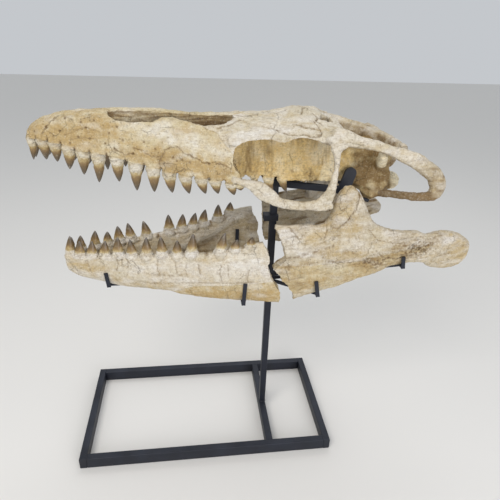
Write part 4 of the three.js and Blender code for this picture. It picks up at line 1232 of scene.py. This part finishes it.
def steel(node_name, grids):
    """One piece of the stand out of several closed surfaces."""
    whole, *parts = [skin("steel_" + node_name, grid) for grid in grids]
    if parts:
        combine(whole, "UNION", *parts)
        removed(*parts)
    whole.name = "steel_" + node_name
    pieces[node_name] = whole
    return whole


def base():
    """Five rectangular tubes that meet at butt joints, with a weld bead on every joint."""
    left, right, front, back, width, high = BASE.values()
    half, up, bead = width / 2, high / 2, high - 1
    x0, x1 = left + width + STEEL_GAP, right - width - STEEL_GAP
    y0, y1 = front + width + STEEL_GAP, back - width - STEEL_GAP
    for end, y in (("front", front + half), ("back", back - half)):
        beads = [weld([x, y - half + 1, bead], [x, y + half - 1, bead]) for x in (x0, x1)]
        steel(f"stand_base_{end}", [tube([[x0, y, up], [x1, y, up]], half, up, 2.2), *beads])
    for end, x in (("left", left + half), ("right", right - half)):
        steel(f"stand_base_{end}", [tube([[x, front, up], [x, back, up]], half, up, 2.2)])
    beads = [weld([-half + 1, y, bead], [half - 1, y, bead]) for y in (y0, y1)]
    steel("stand_base_cross", [tube([[0, y0, up], [0, y1, up]], half, up, 2.2), *beads])


def upright():
    """The post, welded on all sides to the cross bar, with the collar, its bolt and the hub."""
    half, foot = POST["size"] / 2, BASE["height"] + STEEL_GAP
    grids = [tube([[0, 0, foot], [0, 0, POST["top"]]], half, half, 1.8)]
    for sx, sy in ((1, 0), (-1, 0), (0, 1), (0, -1)):
        along = np.array([sy, sx, 0]) * (half - 1)
        middle = np.array([sx, sy, 0]) * half + np.array([0, 0, foot + 1.2])
        grids.append(weld(middle - along, middle + along, 2.0))
    post = steel("stand_post", grids)
    reach, back, half, bottom, top = COLLAR.values()
    middle = (bottom + top) / 2
    grids = [tube([[-reach + 0.8, 0, middle], [back, 0, middle]], half, (top - bottom) / 2),
             tube([[-reach + 2, 0, middle], [-reach - 0.1, 0, middle]], 3.6, 3.6, 3.2)]
    main_body(combine(steel("stand_collar", grids), "DIFFERENCE", post))
    half, bottom, top = HUB.values()
    hub = steel("stand_hub", [tube([[0, 0, bottom], [0, 0, top]], half, half, 2)])
    main_body(combine(hub, "DIFFERENCE", post))


def arm(side, name):
    """A bar from the post to the side of the braincase, an upright plate with a rounded top and
    a rest that runs on under the braincase."""
    z, width, high, pad_x, pad_y, top_x, top = YOKE.values()
    y = side * (pad_y + 5)
    bar = tube([[0, side * 5, z], [pad_x, y, z]], width / 2, high / 2)
    crown = np.linspace(np.pi / 2, -np.pi / 2, 9)
    reach = PAD["front"]
    dome = [[top_x + 0.5 + reach * np.sin(a), top - reach + reach * np.cos(a)] for a in crown]
    foot = z - PAD["foot"]
    outline = [[pad_x - reach, foot], [pad_x + PAD["back"], foot], *dome]
    near = pad_y + PAD["clear"]
    faces = sorted([side * near, side * (near + PAD["thick"])])
    plate = prism("plate", outline, *faces, step=3, wobble=0)
    rest = tube([[pad_x - 4, y, z - 8], [REST["x"], side * REST["y"], REST["z"]]],
                REST["half"], REST["high"], 1.4)
    joined = combine(steel(f"stand_yoke_{name}", [bar, rest]), "UNION", plate)
    removed(plate)
    bones = [pieces["braincase"], pieces[f"pterygoid_{name}"], pieces["stand_post"],
             pieces[f"coronoid_{name}"], pieces[f"surangular_{name}"]]
    main_body(combine(joined, "DIFFERENCE", *bones))


def clip(x, outer_top, inner_top, table, start, lean, side):
    """A flat strap bent under the jaw and up its outer side, and up the inner side where an
    inner height is given, on a square rod to the hub."""
    _, low, thick = row_at(table, x)
    low += lift(np.array([x]), side)[0]
    outer, half = row_at(JAW_WIDTH, x)[0], STRAP["thick"] / 2
    reach, inner, floor = outer + half + 1, outer - thick - half - 1, low - half - 1
    bends = [[x + lean, side * reach, outer_top], [x, side * reach, floor],
             [x, side * inner, floor]]
    if inner_top:
        bends.append([x, side * inner, inner_top])
    grids = []
    for a, b in zip(np.array(bends[:-1], float), np.array(bends[1:], float)):
        past_bend = (b - a) / np.linalg.norm(b - a) * half
        grids.append(strap(a - past_bend, b + past_bend, STRAP["half"], half))
    foot = [x, side * (outer - thick / 2), low - half - 3]
    return [*grids, tube([start, foot], ROD_HALF, ROD_HALF, 1.0)]


def clips():
    """Four clips under each half of the jaw: place, height of the outer and of the inner side,
    the jaw's table, where the rod leaves the hub, and how far the outer end leans along x."""
    face, middle = HUB["half"] + 0.5, (HUB["bottom"] + HUB["top"]) / 2
    for side, name in SIDES:
        back = 320 if side < 0 else 296
        places = {
            "front": (-428, 549, 0, DENTARY, [-face, side * 6, middle], -4),
            "middle": (-85, 547, 612, DENTARY, [-6, side * face, middle + 5], 3),
            "rear": (104, 556, 0, REAR_JAW, [6, side * face, middle - 5], -8),
            "back": (back, 618, 0, REAR_JAW, [face, side * 6, middle], -4),
        }
        jaws = [pieces[f"{bone}_{name}"]
                for bone in ("dentary", "splenial", "surangular", "angular")]
        for place, row in places.items():
            made = steel(f"stand_clip_{place}_{name}", clip(*row, side))
            main_body(combine(made, "DIFFERENCE", *jaws))


base()
upright()
for arm_side, arm_name in SIDES:
    arm(arm_side, arm_name)
clips()

# ---- Stains, wear, painted shade and painted light on each bone, kept as attributes of its vertices ----

BONE_TAN = {"premaxilla": 0.5, "maxilla": 0.22, "splenial": 0.34, "angular": 0.32, "frontal": 0.1,
            "prefrontal": 0.2, "postorbital": 0.0, "jugal": 0.02, "squamosal": 0.12,
            "parietal": 0.4, "dentary": 0.2, "surangular": 0.2, "coronoid": 0.45,
            "articular": 0.35, "braincase": 0.3, "pterygoid": 0.8}
BAR_SPAN = {"front": -390, "rear": -108, "half": 21}    # bar between the nostrils
# Front edge of the bare rear part of the wall behind the orbit: z and x, and its end.
WALL_REAR = {"edge": [[773, 93], [836, 101], [860, 125], [884, 86]], "end": 128}
# Upper edge of the parietal's crest along x.
CREST = [[84, 952], [110, 947], [150, 938], [200, 925], [250, 910], [270, 905]]
FACET = {"x": 232, "z": 783, "long": 15, "high": 17}    # broken face on the braincase


class Coat:
    """A bone's vertices in mm with three shares on them, each 0 to 1: tan for iron stain, brown
    for grime and for painted shade in cracks, openings and under overhangs, pale for plaster,
    whitened bone and painted light on shaded inner sides. outside is 1 on the outer side and
    inner is 1 on the inner one. slow and quick are drifts 60 and 17 mm long."""

    def __init__(self, node_name, obj):
        self.bone = node_name.split("_")[0]
        self.side = -1 if node_name.endswith("left") else 1
        self.p, self.n = points_of(obj.data), normals_of(obj.data)
        self.x, self.y, self.z = self.p.T
        self.outside = ease(np.abs(self.y) * np.sign(self.n[:, 1] * self.y), -5, 30)
        self.inner = 1 - self.outside
        self.slow, self.quick = self.drift(60, 201, 1.8), self.drift(17, 202, 2)
        self.tan = BONE_TAN[self.bone] + 0.16 * self.slow + 0.12 * self.quick \
            + 0.14 * self.drift(15, 212, 5)
        self.pale = 0.1 + 0.5 * np.clip(self.drift(34, 203, 2) - 0.3, 0, 1)
        self.brown = 0.1 * np.clip(self.drift(13, 213, 4) - 0.2, 0, 1)

    def drift(self, length, seed, along=1.0, up=1.0):
        """Waves of that length, longer along the skull or upwards by the factors given."""
        return waves(self.p, length, seed, (along, 1, up))

    def down(self, low, high):
        """0 on faces that look up and 1 on those that look down, eased between."""
        return ease(-self.n[:, 2], low, high)

    def blotch(self, flat, seed, stains, blanks):
        """Lays tan stains and pale blanks on the outer side, with edges that wander by 5 mm."""
        moved = shaken(flat, self.p, 5, 22, seed)
        self.tan += patches(moved, stains) * self.outside
        self.pale += patches(moved, blanks) * self.outside


def stain_and_shade_snout_and_roof(coat):
    """Stains and blanks on the outer side, painted shade in cracks, creases, pits, nostrils and
    seams, under the roof and between teeth, and painted light on the top of the bar between the
    nostrils.
    """
    flat, plan = side_view(coat.p), half_plan(coat.p)
    up, outside = coat.n[:, 2], coat.outside
    coat.blotch(flat, 204, SNOUT_STAINS, SNOUT_BLANKS)
    # Painted shade: darker in the cracks, creases and pits of the outer side.
    coat.brown += outside * (bell(off_snout_cracks(coat.p), 1.4, 0.75)
                             + bell(off_lines(flat, SNOUT_RIDGES), 1.5, 0.4)
                             + bell(off_points(flat, FORAMINA), 2.2))
    # Painted shade down inside the nostrils and the slot, darkest near their floor, and under the
    # bar between the nostrils.
    opening = within(plan, NARIS) | (off_outline(plan, NARIS) < 1.6)
    opening |= off_outline(plan, SLOT) < 1.5
    bar = (plan[:, 1] < BAR_SPAN["half"]) & (coat.x > BAR_SPAN["front"]) \
        & (coat.x < BAR_SPAN["rear"])
    deep = np.maximum(opening * ease(948 - coat.z, 3, 24), bar * coat.down(-0.9, -0.6))
    coat.brown += deep * (0.5 + 0.35 * coat.drift(6, 214, 7) + 0.2 * coat.slow)
    coat.brown += opening * 0.7 * ease(-coat.z, -930, -920)
    # Painted light: the top of the bar between the nostrils is made paler where it faces up.
    coat.tan -= 0.4 * bar * ease(up, 0.6, 0.9)
    # Painted shade in the open seams and cracks of the roof.
    seam, cracks = off_roof_lines(coat.p)
    lines = np.maximum(bell(seam, 1.7) * ease(coat.x, -110, -10), bell(cracks, 1.9))
    coat.brown += 0.85 * lines * ease(up, 0.1, 0.5) * (coat.z > 900)
    # Painted shade on the faces that look down under the roof.
    coat.brown += coat.down(0.3, 0.8) * ease(115 - np.abs(coat.y), 0, 30) * 0.5
    if coat.bone in ("premaxilla", "maxilla"):
        over = coat.z - through(SNOUT, coat.x)[:, 4]
        low = bell(over - 24, 20) * ease(coat.x, -360, -300) * outside
        coat.tan += low * (0.32 + 0.4 * coat.quick)
        coat.brown += 0.1 * low * (1 + 2 * coat.quick)
        # Painted shade in the slits between the teeth.
        near = np.abs(coat.p[:, :1] - roots_and_gaps(UPPER_TEETH)[1]).min(1)
        coat.brown += bell(near, 2.2) * (1 - ease(over, 3, 13)) * ease(over, -8, -3)


def stain_and_shade_jaw(coat):
    """Stains, and painted shade in the cracks of both halves of the jaw, and what is on one of
    them.
    """
    flat = np.column_stack([coat.x, coat.z - lift(coat.x, coat.side)])
    coat.blotch(flat, 206, JAW_STAINS, JAW_BLANKS)
    face = shaken(flat, coat.p, 1.3, 8, 91)
    streak = coat.drift(7, 215, 8)
    coat.tan += coat.inner * 0.3
    if coat.bone in ("dentary", "splenial"):
        # Painted shade in the cracks of the outer side.
        coat.brown += coat.outside * bell(off_lines(face, FRONT_CRACKS), 1.3, 0.6)
        stain_shade_and_light_front_jaw(coat, flat, streak)
    else:
        # Painted shade in the cracks of the outer side.
        coat.brown += coat.outside * bell(off_lines(face, REAR_CRACKS), 1.3, 0.6)
        stain_shade_and_light_rear_jaw(coat, flat, face, streak)


def stain_shade_and_light_front_jaw(coat, flat, streak):
    """Painted shade under the ridge of the inner side and in the pits behind the teeth, and
    painted light on the rest of the inner side.
    """
    x, over, inner = coat.x, over_ridge(*flat.T), coat.inner
    hollow = ease(-over, 8, 22) * ease(x, -460, -380) * (1 - 0.9 * ease(x, -190, -110))
    # Painted shade in the hollow under the ridge; the small negative share lifts the rest of the
    # inner side as painted light, and the streaks are the bone's own.
    coat.brown += inner * (0.75 * hollow - 0.03 + 0.22 * streak)
    # Paler along the ridge, and painted light on the inner side away from the hollow.
    coat.pale += inner * (bell(over, 12, 0.4) + 0.1 * (1 - hollow))
    near = np.abs(flat[:, :1] - roots_and_gaps(LOWER_TEETH[coat.side])[1]).min(1)
    top = through(DENTARY, x)[:, 0]
    # Painted shade in the pits behind the teeth.
    coat.brown += bell(near, 5, 0.8) * ease(coat.n[:, 2] + inner, 0.4, 0.9) \
        * ease(flat[:, 1] - top, -16, -6)


def stain_shade_and_light_rear_jaw(coat, flat, face, streak):
    """Painted shade in creases, grooves, pores, round the swelling and under the coronoid's leaf,
    and painted light on the inner side.
    """
    turned, outside, inner = along_rear_jaw(coat.p), coat.outside, coat.inner
    coat.tan += outside * 0.25 * waves(turned, 26, 219, (3, 1, 1))
    # Painted light: the inner side is made paler.
    coat.pale += inner * 0.15
    # Painted shade in the creases of the outer side and the grooves of the inner one; the small
    # negative share lifts the inner side as painted light.
    coat.brown += outside * 0.3 * creases(turned, coat.side)
    coat.brown += inner * (-0.04 + 0.16 * streak + grooves(turned))
    # Painted light on the coronoid's inner side.
    if coat.bone == "coronoid":
        coat.brown -= inner * 0.25
        coat.pale += inner * 0.4
    # Painted shade under the edge of the coronoid's leaf and in the pores.
    coat.brown += outside * bell(off_lines(face, [LEAF_EDGE]), 1.6, 0.8)
    pores = 0.16 + 0.8 * np.clip(coat.drift(9, 105) + 0.2, 0, 1)
    coat.brown += outside * pored(flat) * pores
    oval = off_swelling(flat)
    coat.tan += outside * 0.5 * (1 - ease(oval, 0.7, 1.1))
    # Painted shade round the edge of the swelling.
    coat.brown += outside * bell(oval - 1.08, 0.12, 0.35)
    coat.brown += outside * 0.09 * (1 + waves(turned, 40, 220, (2.5, 1, 1)))


def stain_and_light_braincase(coat):
    """Dark brown between pale knobs, with a darker band and a pale broken facet. The knobs and the
    front are paler also as painted light on parts that sit in shade.
    """
    x, y, z = coat.x, coat.y, coat.z
    knobs = ease(x, 284, 300) + ease(np.abs(y), 62, 118)
    lumpy = coat.drift(20, 68)
    front = ease(-x, -186, -160)
    band = bell(x - 198 - 0.3 * (z - 800), 15) * ease(-z, -850, -820)
    facet = bell(x - FACET["x"], FACET["long"]) * bell(z - FACET["z"], FACET["high"])
    coat.brown += 0.82 - 0.25 * coat.slow - 0.14 * lumpy + 0.14 * coat.quick
    # The knobs and the front are lifted paler partly as painted light on parts that sit in shade.
    coat.brown += 0.3 * band - 0.9 * knobs - 0.8 * front - 0.5 * facet
    coat.pale += 0.2 * np.clip(lumpy - 0.2, 0, 1) + 0.8 * knobs + 0.35 * facet
    coat.tan += 0.4 * front - 0.5 * knobs


def stain_and_shade_pterygoid(coat):
    """Upright blotches of matrix, painted shade at the top under the roof and at the front, bare
    bone at the rear.
    """
    blotch = coat.drift(42, 210, up=1.5)
    coat.brown += 0.02 + 0.3 * blotch + 0.22 * coat.drift(11, 209, up=3) \
        + 0.2 * coat.drift(5, 216, up=2)
    coat.pale += 0.3 * np.clip(-blotch - 0.1, 0, 1)
    # Painted shade: darker at the top, under the roof, and at the front of the wall.
    coat.brown += 0.16 * ease(coat.z, 880, 915) + 0.12 * ease(-coat.x, 80, 125)
    past_edge = coat.x - np.interp(coat.z, *np.transpose(WALL_REAR["edge"]))
    rear = ease(past_edge, -2, 3) * (coat.x < WALL_REAR["end"])
    coat.tan -= 0.6 * rear
    coat.brown -= 0.35 * rear
    coat.pale += 0.4 * rear


def stain_and_shade_bars(coat):
    """Painted shade under the bars behind the orbit and on their inner faces; the squamosal is
    also darker on its low inner run and towards its rear, and tan at its rear.
    """
    inward = ease(-coat.n[:, 1] * np.sign(coat.y), 0.3, 0.9)
    # Painted shade on faces that look down and on those that face inwards.
    coat.brown += 0.45 * coat.down(0.2, 0.9) + 0.35 * inward
    if coat.bone == "squamosal":
        rear = ease(coat.x, 270, 330)
        coat.brown += 0.85 * ease(-coat.x, -372, -330) * ease(-coat.z, -800, -790)
        coat.brown += 0.22 * ease(coat.x, 290, 340)
        coat.brown += 0.5 * np.clip(coat.drift(12, 218, 3), 0, 1) * rear
        coat.tan += 0.2 * rear


def stain_and_shade_parietal(coat):
    """Darker below the crest and towards the rear, and painted shade on the faces that look down.
    """
    crest = np.interp(coat.x, *np.transpose(CREST))
    below = ease(crest - coat.z + 2 * coat.quick, 3, 13) * ease(118 - np.abs(coat.y), 0, 30)
    coat.brown += 0.62 * below * (0.8 + 0.3 * coat.quick)
    # Painted shade on faces that look down; darker towards the rear.
    coat.brown += 0.3 * coat.down(0.2, 0.9) + 0.2 * ease(coat.x, 170, 210)


STAINS_AND_SHADING = {
    stain_and_shade_snout_and_roof: ("premaxilla", "maxilla", "prefrontal", "frontal", "postorbital"),
    stain_and_shade_jaw: ("dentary", "splenial", "surangular", "angular", "coronoid", "articular"),
    stain_and_light_braincase: ("braincase",),
    stain_and_shade_pterygoid: ("pterygoid",),
    stain_and_shade_bars: ("squamosal", "postorbital"),
    stain_and_shade_parietal: ("parietal",),
}


def stained_and_shaded(node_name, obj):
    """Writes four attributes, each 0 to 1: tan, brown and pale, and crown for the share of a
    tooth's crown that a vertex lies at. Cement bases are paler and cleaner than the bone."""
    coat = Coat(node_name, obj)
    for stain, bones in STAINS_AND_SHADING.items():
        if coat.bone in bones:
            stain(coat)
    crown, cement = tooth_marks(node_name, coat.p)
    chalky = 0.62 + 0.3 * coat.quick + 0.3 * waves(coat.p, 52, 217, (1, 9, 9))
    shares = {
        "tan": coat.tan * (1 - 0.5 * cement),
        "brown": coat.brown * (1 - cement) + cement * 0.3 * np.clip(coat.drift(12, 211), 0, 1),
        "pale": np.maximum(coat.pale, cement * chalky),
        "crown": crown,
    }
    for label, value in shares.items():
        layer = obj.data.attributes.new(label, "FLOAT", "POINT")
        layer.data.foreach_set("value", np.clip(value, 0, 1).astype("f4"))
    return crown


# ---- Materials ----------------------------------------------------------

NOISE = ("Scale", "Detail", "Roughness", "Vector")
RANGE = ("Value", "From Min", "From Max", "To Min", "To Max")


def colour(text):
    """Linear RGBA of an sRGB hex colour."""
    rgb = np.array([int(text[i:i + 2], 16) for i in (0, 2, 4)]) / 255
    linear = np.where(rgb <= 0.04045, rgb / 12.92, ((rgb + 0.055) / 1.055) ** 2.4)
    return (*linear.tolist(), 1.0)


def node(tree, kind, inputs, out=0, **settings):
    """Adds a shader node and returns one of its outputs, if it has any. inputs gives sockets by
    name or number, each another node's output or a constant; settings are its own fields."""
    made = tree.nodes.new("ShaderNode" + kind)
    for field, value in settings.items():
        setattr(made, field, value)
    for place, value in inputs.items():
        if isinstance(value, bpy.types.NodeSocket):
            tree.links.new(value, made.inputs[place])
        else:
            made.inputs[place].default_value = value
    return made.outputs[out] if len(made.outputs) else None


def new_material(name):
    """A material without nodes, and the function that adds them to it."""
    material = bpy.data.materials.new(name)
    material.use_nodes = True
    material.node_tree.nodes.clear()
    return material, partial(node, material.node_tree)


def many(add, kind, fields, rows):
    """Nodes of one kind by name, from rows that fill the sockets named in fields."""
    return {label: add(kind, dict(zip(fields, row))) for label, row in rows.items()}


def surfaced(add, tone, roughness, ior, height, strength, depth):
    """Ends a material: one shader with its tone, roughness and a bump `depth` mm high."""
    normal = add("Bump", {"Height": height, "Strength": strength, "Distance": depth * MM})
    shader = add("BsdfPrincipled", {"Base Color": tone, "Roughness": roughness, "IOR": ior,
                                    "Normal": normal})
    add("OutputMaterial", {"Surface": shader})


def fossil_bone(name, ground, deep, stain, dirt_and_shade, bleach_and_light):
    """Permineralised bone under a thin matt consolidant: a chalky ground with slow drifts of
    tone, fibres 2.6 mm wide along the jaw, a crumbly grain of 5 mm, pores of about 2 mm and
    hairline cracks between plates some 42 mm across. Pores and hairlines are drawn coarse
    enough to show."""
    material, add = new_material(name)
    place = add("TexCoord", {}, "Object")
    tan, brown, pale = [add("Attribute", {}, "Fac", attribute_name=label)
                        for label in ("tan", "brown", "pale")]
    along = add("Mapping", {"Vector": place, "Scale": (0.14, 1, 1)})
    noise = many(add, "TexNoise", NOISE, {
        "drift": (1000 / 55, 4, 0.6, place), "mottle": (1000 / 14, 5, 0.65, place),
        "speck": (1000 / 3.4, 3, 0.6, place), "grain": (1000 / 6.5, 5, 0.75, place),
        "bands": (1000 / 9, 4, 0.65, along), "fibres": (1000 / 2.6, 3, 0.55, along),
        "soil": (1000 / 9, 4, 0.7, place), "lined": (1000 / 60, 2, 0.6, place),
        "porous": (1000 / 30, 2, 0.6, place), "warp": (60, 2, 0.5, place),
    })
    warp = add("VectorMath", {0: noise["warp"].node.outputs["Color"], "Scale": 0.014},
               operation="SCALE")
    warped = add("VectorMath", {0: place, 1: warp}, operation="ADD")
    plates = add("TexVoronoi", {"Vector": warped, "Scale": 1000 / 42}, "Distance",
                 feature="DISTANCE_TO_EDGE")
    cells = add("TexVoronoi", {"Vector": place, "Scale": 1000 / 7.5}, "Distance")
    held = many(add, "MapRange", RANGE, {
        "plate_edge": (plates, 0.0, 0.018, 1.0, 0.0), "lined": (noise["lined"], 0.5, 0.6, 0, 1),
        "cell": (cells, 0.1, 0.26, 1.0, 0.0), "porous": (noise["porous"], 0.45, 0.6, 0, 1),
        "deep": (noise["drift"], 0.35, 0.65, 0, 1), "bands": (noise["bands"], 0.3, 0.7, -0.2, 0.2),
        "mottle": (noise["mottle"], 0.3, 0.7, -0.4, 0.4),
        "bleach_and_light": (noise["grain"], 0.3, 0.62, 0.4, 1.2),
        "soil": (noise["soil"], 0.35, 0.75, -0.12, 0.26),
        "fibre": (noise["fibres"], 0.4, 0.72, 0, 0.3),
        "crumb": (noise["grain"], 0.5, 0.76, 0, 0.7),
        "dark_speck": (noise["speck"], 0.58, 0.72, 0, 0.5),
        "pale_speck": (noise["speck"], 0.42, 0.28, 0, 0.4),
        "rough": (noise["mottle"], 0.3, 0.7, -0.06, 0.16),
    })
    hairline = add("Math", {0: held["plate_edge"], 1: held["lined"]}, operation="MULTIPLY")
    pores = add("Math", {0: held["cell"], 1: held["porous"]}, operation="MULTIPLY")
    tanned = add("Math", {0: tan, 1: held["mottle"]}, operation="ADD")
    tanned = add("Math", {0: tanned, 1: held["bands"]}, operation="ADD", use_clamp=True)
    # The pale share also carries painted light on shaded inner sides, and the brown share carries
    # painted shade in cracks, openings and under overhangs.
    bleached_and_lit = add("Math", {0: pale, 1: held["bleach_and_light"]}, operation="MULTIPLY", use_clamp=True)
    soiled_and_shaded = add("Math", {0: brown, 1: held["soil"]}, operation="ADD", use_clamp=True)
    faint_hairline = add("Math", {0: hairline, 1: 0.55}, operation="MULTIPLY")
    faint_pores = add("Math", {0: pores, 1: 0.5}, operation="MULTIPLY")
    lines = add("Math", {0: faint_hairline, 1: faint_pores}, operation="MAXIMUM")
    tone = colour(ground)
    for share, text in ((held["deep"], deep), (tanned, stain), (bleached_and_lit, bleach_and_light),
                        (soiled_and_shaded, dirt_and_shade), (lines, "5f4c30"), (held["fibre"], "94794c"),
                        (held["crumb"], "8e774f"), (held["dark_speck"], "7c653f"),
                        (held["pale_speck"], bleach_and_light)):
        tone = add("Mix", {0: share, 6: tone, 7: colour(text)}, 2, data_type="RGBA")
    roughness = add("Math", {0: 0.66, 1: held["rough"]}, operation="ADD")
    height = add("Math", {0: noise["fibres"], 1: 0.8}, operation="MULTIPLY")
    for source, share in ((hairline, -1.1), (pores, -0.9), (noise["grain"], 1.6)):
        height = add("Math", {0: source, 1: share, 2: height}, operation="MULTIPLY_ADD")
    surfaced(add, tone, roughness, 1.52, height, 0.8, 1.9)
    return material


def fossil_enamel():
    """Fossil tooth enamel: half glossy, cream at the neck, then gold, brown and grey at the tip,
    with fine upright ridges 2.4 mm apart and worn pale patches."""
    material, add = new_material("fossil_tooth_enamel")
    place = add("TexCoord", {}, "Object")
    crown = add("Attribute", {}, "Fac", attribute_name="crown")
    upright_place = add("Mapping", {"Vector": place, "Scale": (1, 1, 0.16)})
    noise = many(add, "TexNoise", NOISE, {"mottle": (1000 / 11, 4, 0.65, place),
                                          "ridges": (1000 / 2.4, 2, 0.5, upright_place)})
    held = many(add, "MapRange", RANGE, {
        "shift": (noise["mottle"], 0.3, 0.7, -0.12, 0.12),
        "worn": (noise["mottle"], 0.6, 0.72, 0, 0.45),
        "ridges": (noise["ridges"], 0.4, 0.7, 0, 0.4),
        "rough": (noise["mottle"], 0.3, 0.7, 0.3, 0.5),
    })
    share = add("Math", {0: crown, 1: held["shift"]}, operation="ADD")
    scale = add("ValToRGB", {"Fac": share}, "Color")
    stops = scale.node.color_ramp.elements
    stops[0].color, stops[1].color = colour("cdc2a6"), colour("6d6863")
    for at, text in ((0.14, "b09a6a"), (0.3, "876c41"), (0.54, "65502f"), (0.8, "524839")):
        stops.new(at).color = colour(text)
    tone = scale
    for part, text in ((held["worn"], "b5a88c"), (held["ridges"], "705c3f")):
        tone = add("Mix", {0: part, 6: tone, 7: colour(text)}, 2, data_type="RGBA")
    surfaced(add, tone, held["rough"], 1.62, noise["ridges"], 0.35, 0.7)
    return material


def painted_steel():
    """Welded mild steel under brushed satin paint: near black with a blue cast, faint orange
    peel 2 mm across, soft dust on what faces up and small bare scuffs."""
    material, add = new_material("painted_steel")
    place = add("TexCoord", {}, "Object")
    noise = many(add, "TexNoise", NOISE, {
        "slow": (1000 / 60, 4, 0.5, place), "peel": (1000 / 2.2, 2, 0.5, place),
        "chips": (1000 / 6.5, 5, 0.7, place),
    })
    up = add("SeparateXYZ", {0: add("NewGeometry", {}, "Normal")}, "Z")
    held = many(add, "MapRange", RANGE, {
        "up": (up, 0.4, 0.9, 0, 0.3), "tone": (noise["slow"], 0.3, 0.7, 0, 1),
        "dust": (noise["slow"], 0.3, 0.7, 0.3, 1), "scuff": (noise["chips"], 0.7, 0.74, 0, 0.6),
        "rough": (noise["peel"], 0.3, 0.7, 0.42, 0.56),
    })
    dust = add("Math", {0: held["up"], 1: held["dust"]}, operation="MULTIPLY")
    tone = colour("1a1d25")
    for share, text in ((held["tone"], "222631"), (dust, "3c3f48"), (held["scuff"], "7a7468")):
        tone = add("Mix", {0: share, 6: tone, 7: colour(text)}, 2, data_type="RGBA")
    surfaced(add, tone, held["rough"], 1.4, noise["peel"], 0.2, 0.5)
    return material


# Colours of each finish: ground, deep tone, stain, the brown of grime and painted shade, and the
# pale of whitened bone and painted light.
BONE_COLOURS = {
    "ivory_fossil_bone": ("ded7c7", "cdc3a9", "bfa97a", "77603f", "e6e3dc"),
    "tan_fossil_bone": ("d8cdae", "c6b68a", "b4975c", "6b5333", "e4e0d3"),
    # brown_fossil_bone is made paler than the bone itself, as painted light on the parts that sit
    # in shade.
    "brown_fossil_bone": ("f0dfae", "e2c886", "d9b76f", "7d6338", "efe6cb"),
}
FINISH = {slot: fossil_bone(slot, *texts) for slot, texts in BONE_COLOURS.items()}
ENAMEL = fossil_enamel()
FINISH["painted_steel"] = painted_steel()
SLOTS = {row["node"]: row["material_slot"] for row in frame["record"]["subparts"]}


def dressed(node_name, obj):
    """Smooth shading but for sharp edges, the finish of the node's slot, and enamel on the
    crowns of its teeth."""
    mesh, slot = obj.data, SLOTS[node_name]
    mesh.materials.clear()
    mesh.shade_smooth()
    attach(obj, "root")
    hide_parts(node_name)
    mesh.materials.append(FINISH[slot])
    mesh.set_sharp_from_angle(angle=0.6 if slot == "painted_steel" else 0.9)
    if slot == "painted_steel":
        return
    crown = stained_and_shaded(node_name, obj)
    if crown.any():
        mesh.materials.append(ENAMEL)
        corners = numbers_of(mesh.loops, "vertex_index", "i4")
        starts = numbers_of(mesh.polygons, "loop_start", "i4")
        on = np.minimum.reduceat((crown > 0)[corners].astype("i4"), starts)
        mesh.polygons.foreach_set("material_index", on.astype("i4"))


for made_node, made_piece in pieces.items():
    dressed(made_node, made_piece)

# ---- Floor, light and camera ---------------------------------------------

# Places, aims and sizes in metres, power in watts.
LAMPS = {
    "key_light": ((-1.5, -1.9, 2.9), (-0.1, 0, 0.7), 1.6, 47, "fffaf4"),
    "fill_light": ((1.0, -2.5, 1.0), (0, 0, 0.75), 1.8, 27, "fbfaff"),
    "top_light": ((0.2, 1.2, 2.8), (0, 0, 0.7), 1.6, 14, "ffffff"),
}
SKY = {"colour": "e9edf2", "strength": 0.68}
# The camera's place in metres, its turns about x, y and z in degrees, and its lens in mm.
CAMERA = {"place": (-0.2115, -1.0776, 1.1415), "turns": (62.9308, -1.9487, -7.1509),
          "lens": 32.63, "sensor": 36}


def floor():
    """A wide pale sheet of matt paper, level with the underside of the base."""
    x, y = np.meshgrid(np.linspace(-9000, 9000, 3), np.linspace(-9000, 9000, 3))
    points = np.stack([x, y, np.full_like(x, -0.2)], -1).reshape(-1, 3)
    index = np.arange(9).reshape(3, 3)
    faces = np.stack([index[:-1, :-1], index[:-1, 1:], index[1:, 1:], index[1:, :-1]],
                     -1).reshape(-1, 4)
    sheet = mesh_object("studio_floor", points, [faces])
    material, add = new_material("matt_paper")
    shader = add("BsdfPrincipled", {"Base Color": colour("e4e2de"), "Roughness": 0.9})
    add("OutputMaterial", {"Surface": shader})
    sheet.data.materials.append(material)


def placed(name, data, place, rotation):
    """An object of the scene at a place and with a rotation."""
    obj = bpy.data.objects.new(name, data)
    obj.location, obj.rotation_euler = place, rotation
    bpy.context.scene.collection.objects.link(obj)
    return obj


def studio():
    """Even grey sky, three round lamps and the camera."""
    scene = bpy.context.scene
    scene.world = bpy.data.worlds.new("studio")
    scene.world.use_nodes = True
    sky = scene.world.node_tree.nodes["Background"].inputs
    sky["Color"].default_value = colour(SKY["colour"])
    sky["Strength"].default_value = SKY["strength"]
    scene.view_settings.view_transform = "Standard"
    for name, (place, aim, size, power, tint) in LAMPS.items():
        light = bpy.data.lights.new(name, "AREA")
        light.shape, light.size, light.energy = "DISK", size, power
        light.color = colour(tint)[:3]
        way = Vector(aim) - Vector(place)
        placed(name, light, place, way.to_track_quat("-Z", "Y").to_euler())
    lens = bpy.data.cameras.new("camera")
    lens.lens, lens.sensor_width = CAMERA["lens"], CAMERA["sensor"]
    lens.clip_start, lens.clip_end = 0.05, 60
    scene.camera = placed("camera", lens, CAMERA["place"], np.radians(CAMERA["turns"]))


floor()
studio()
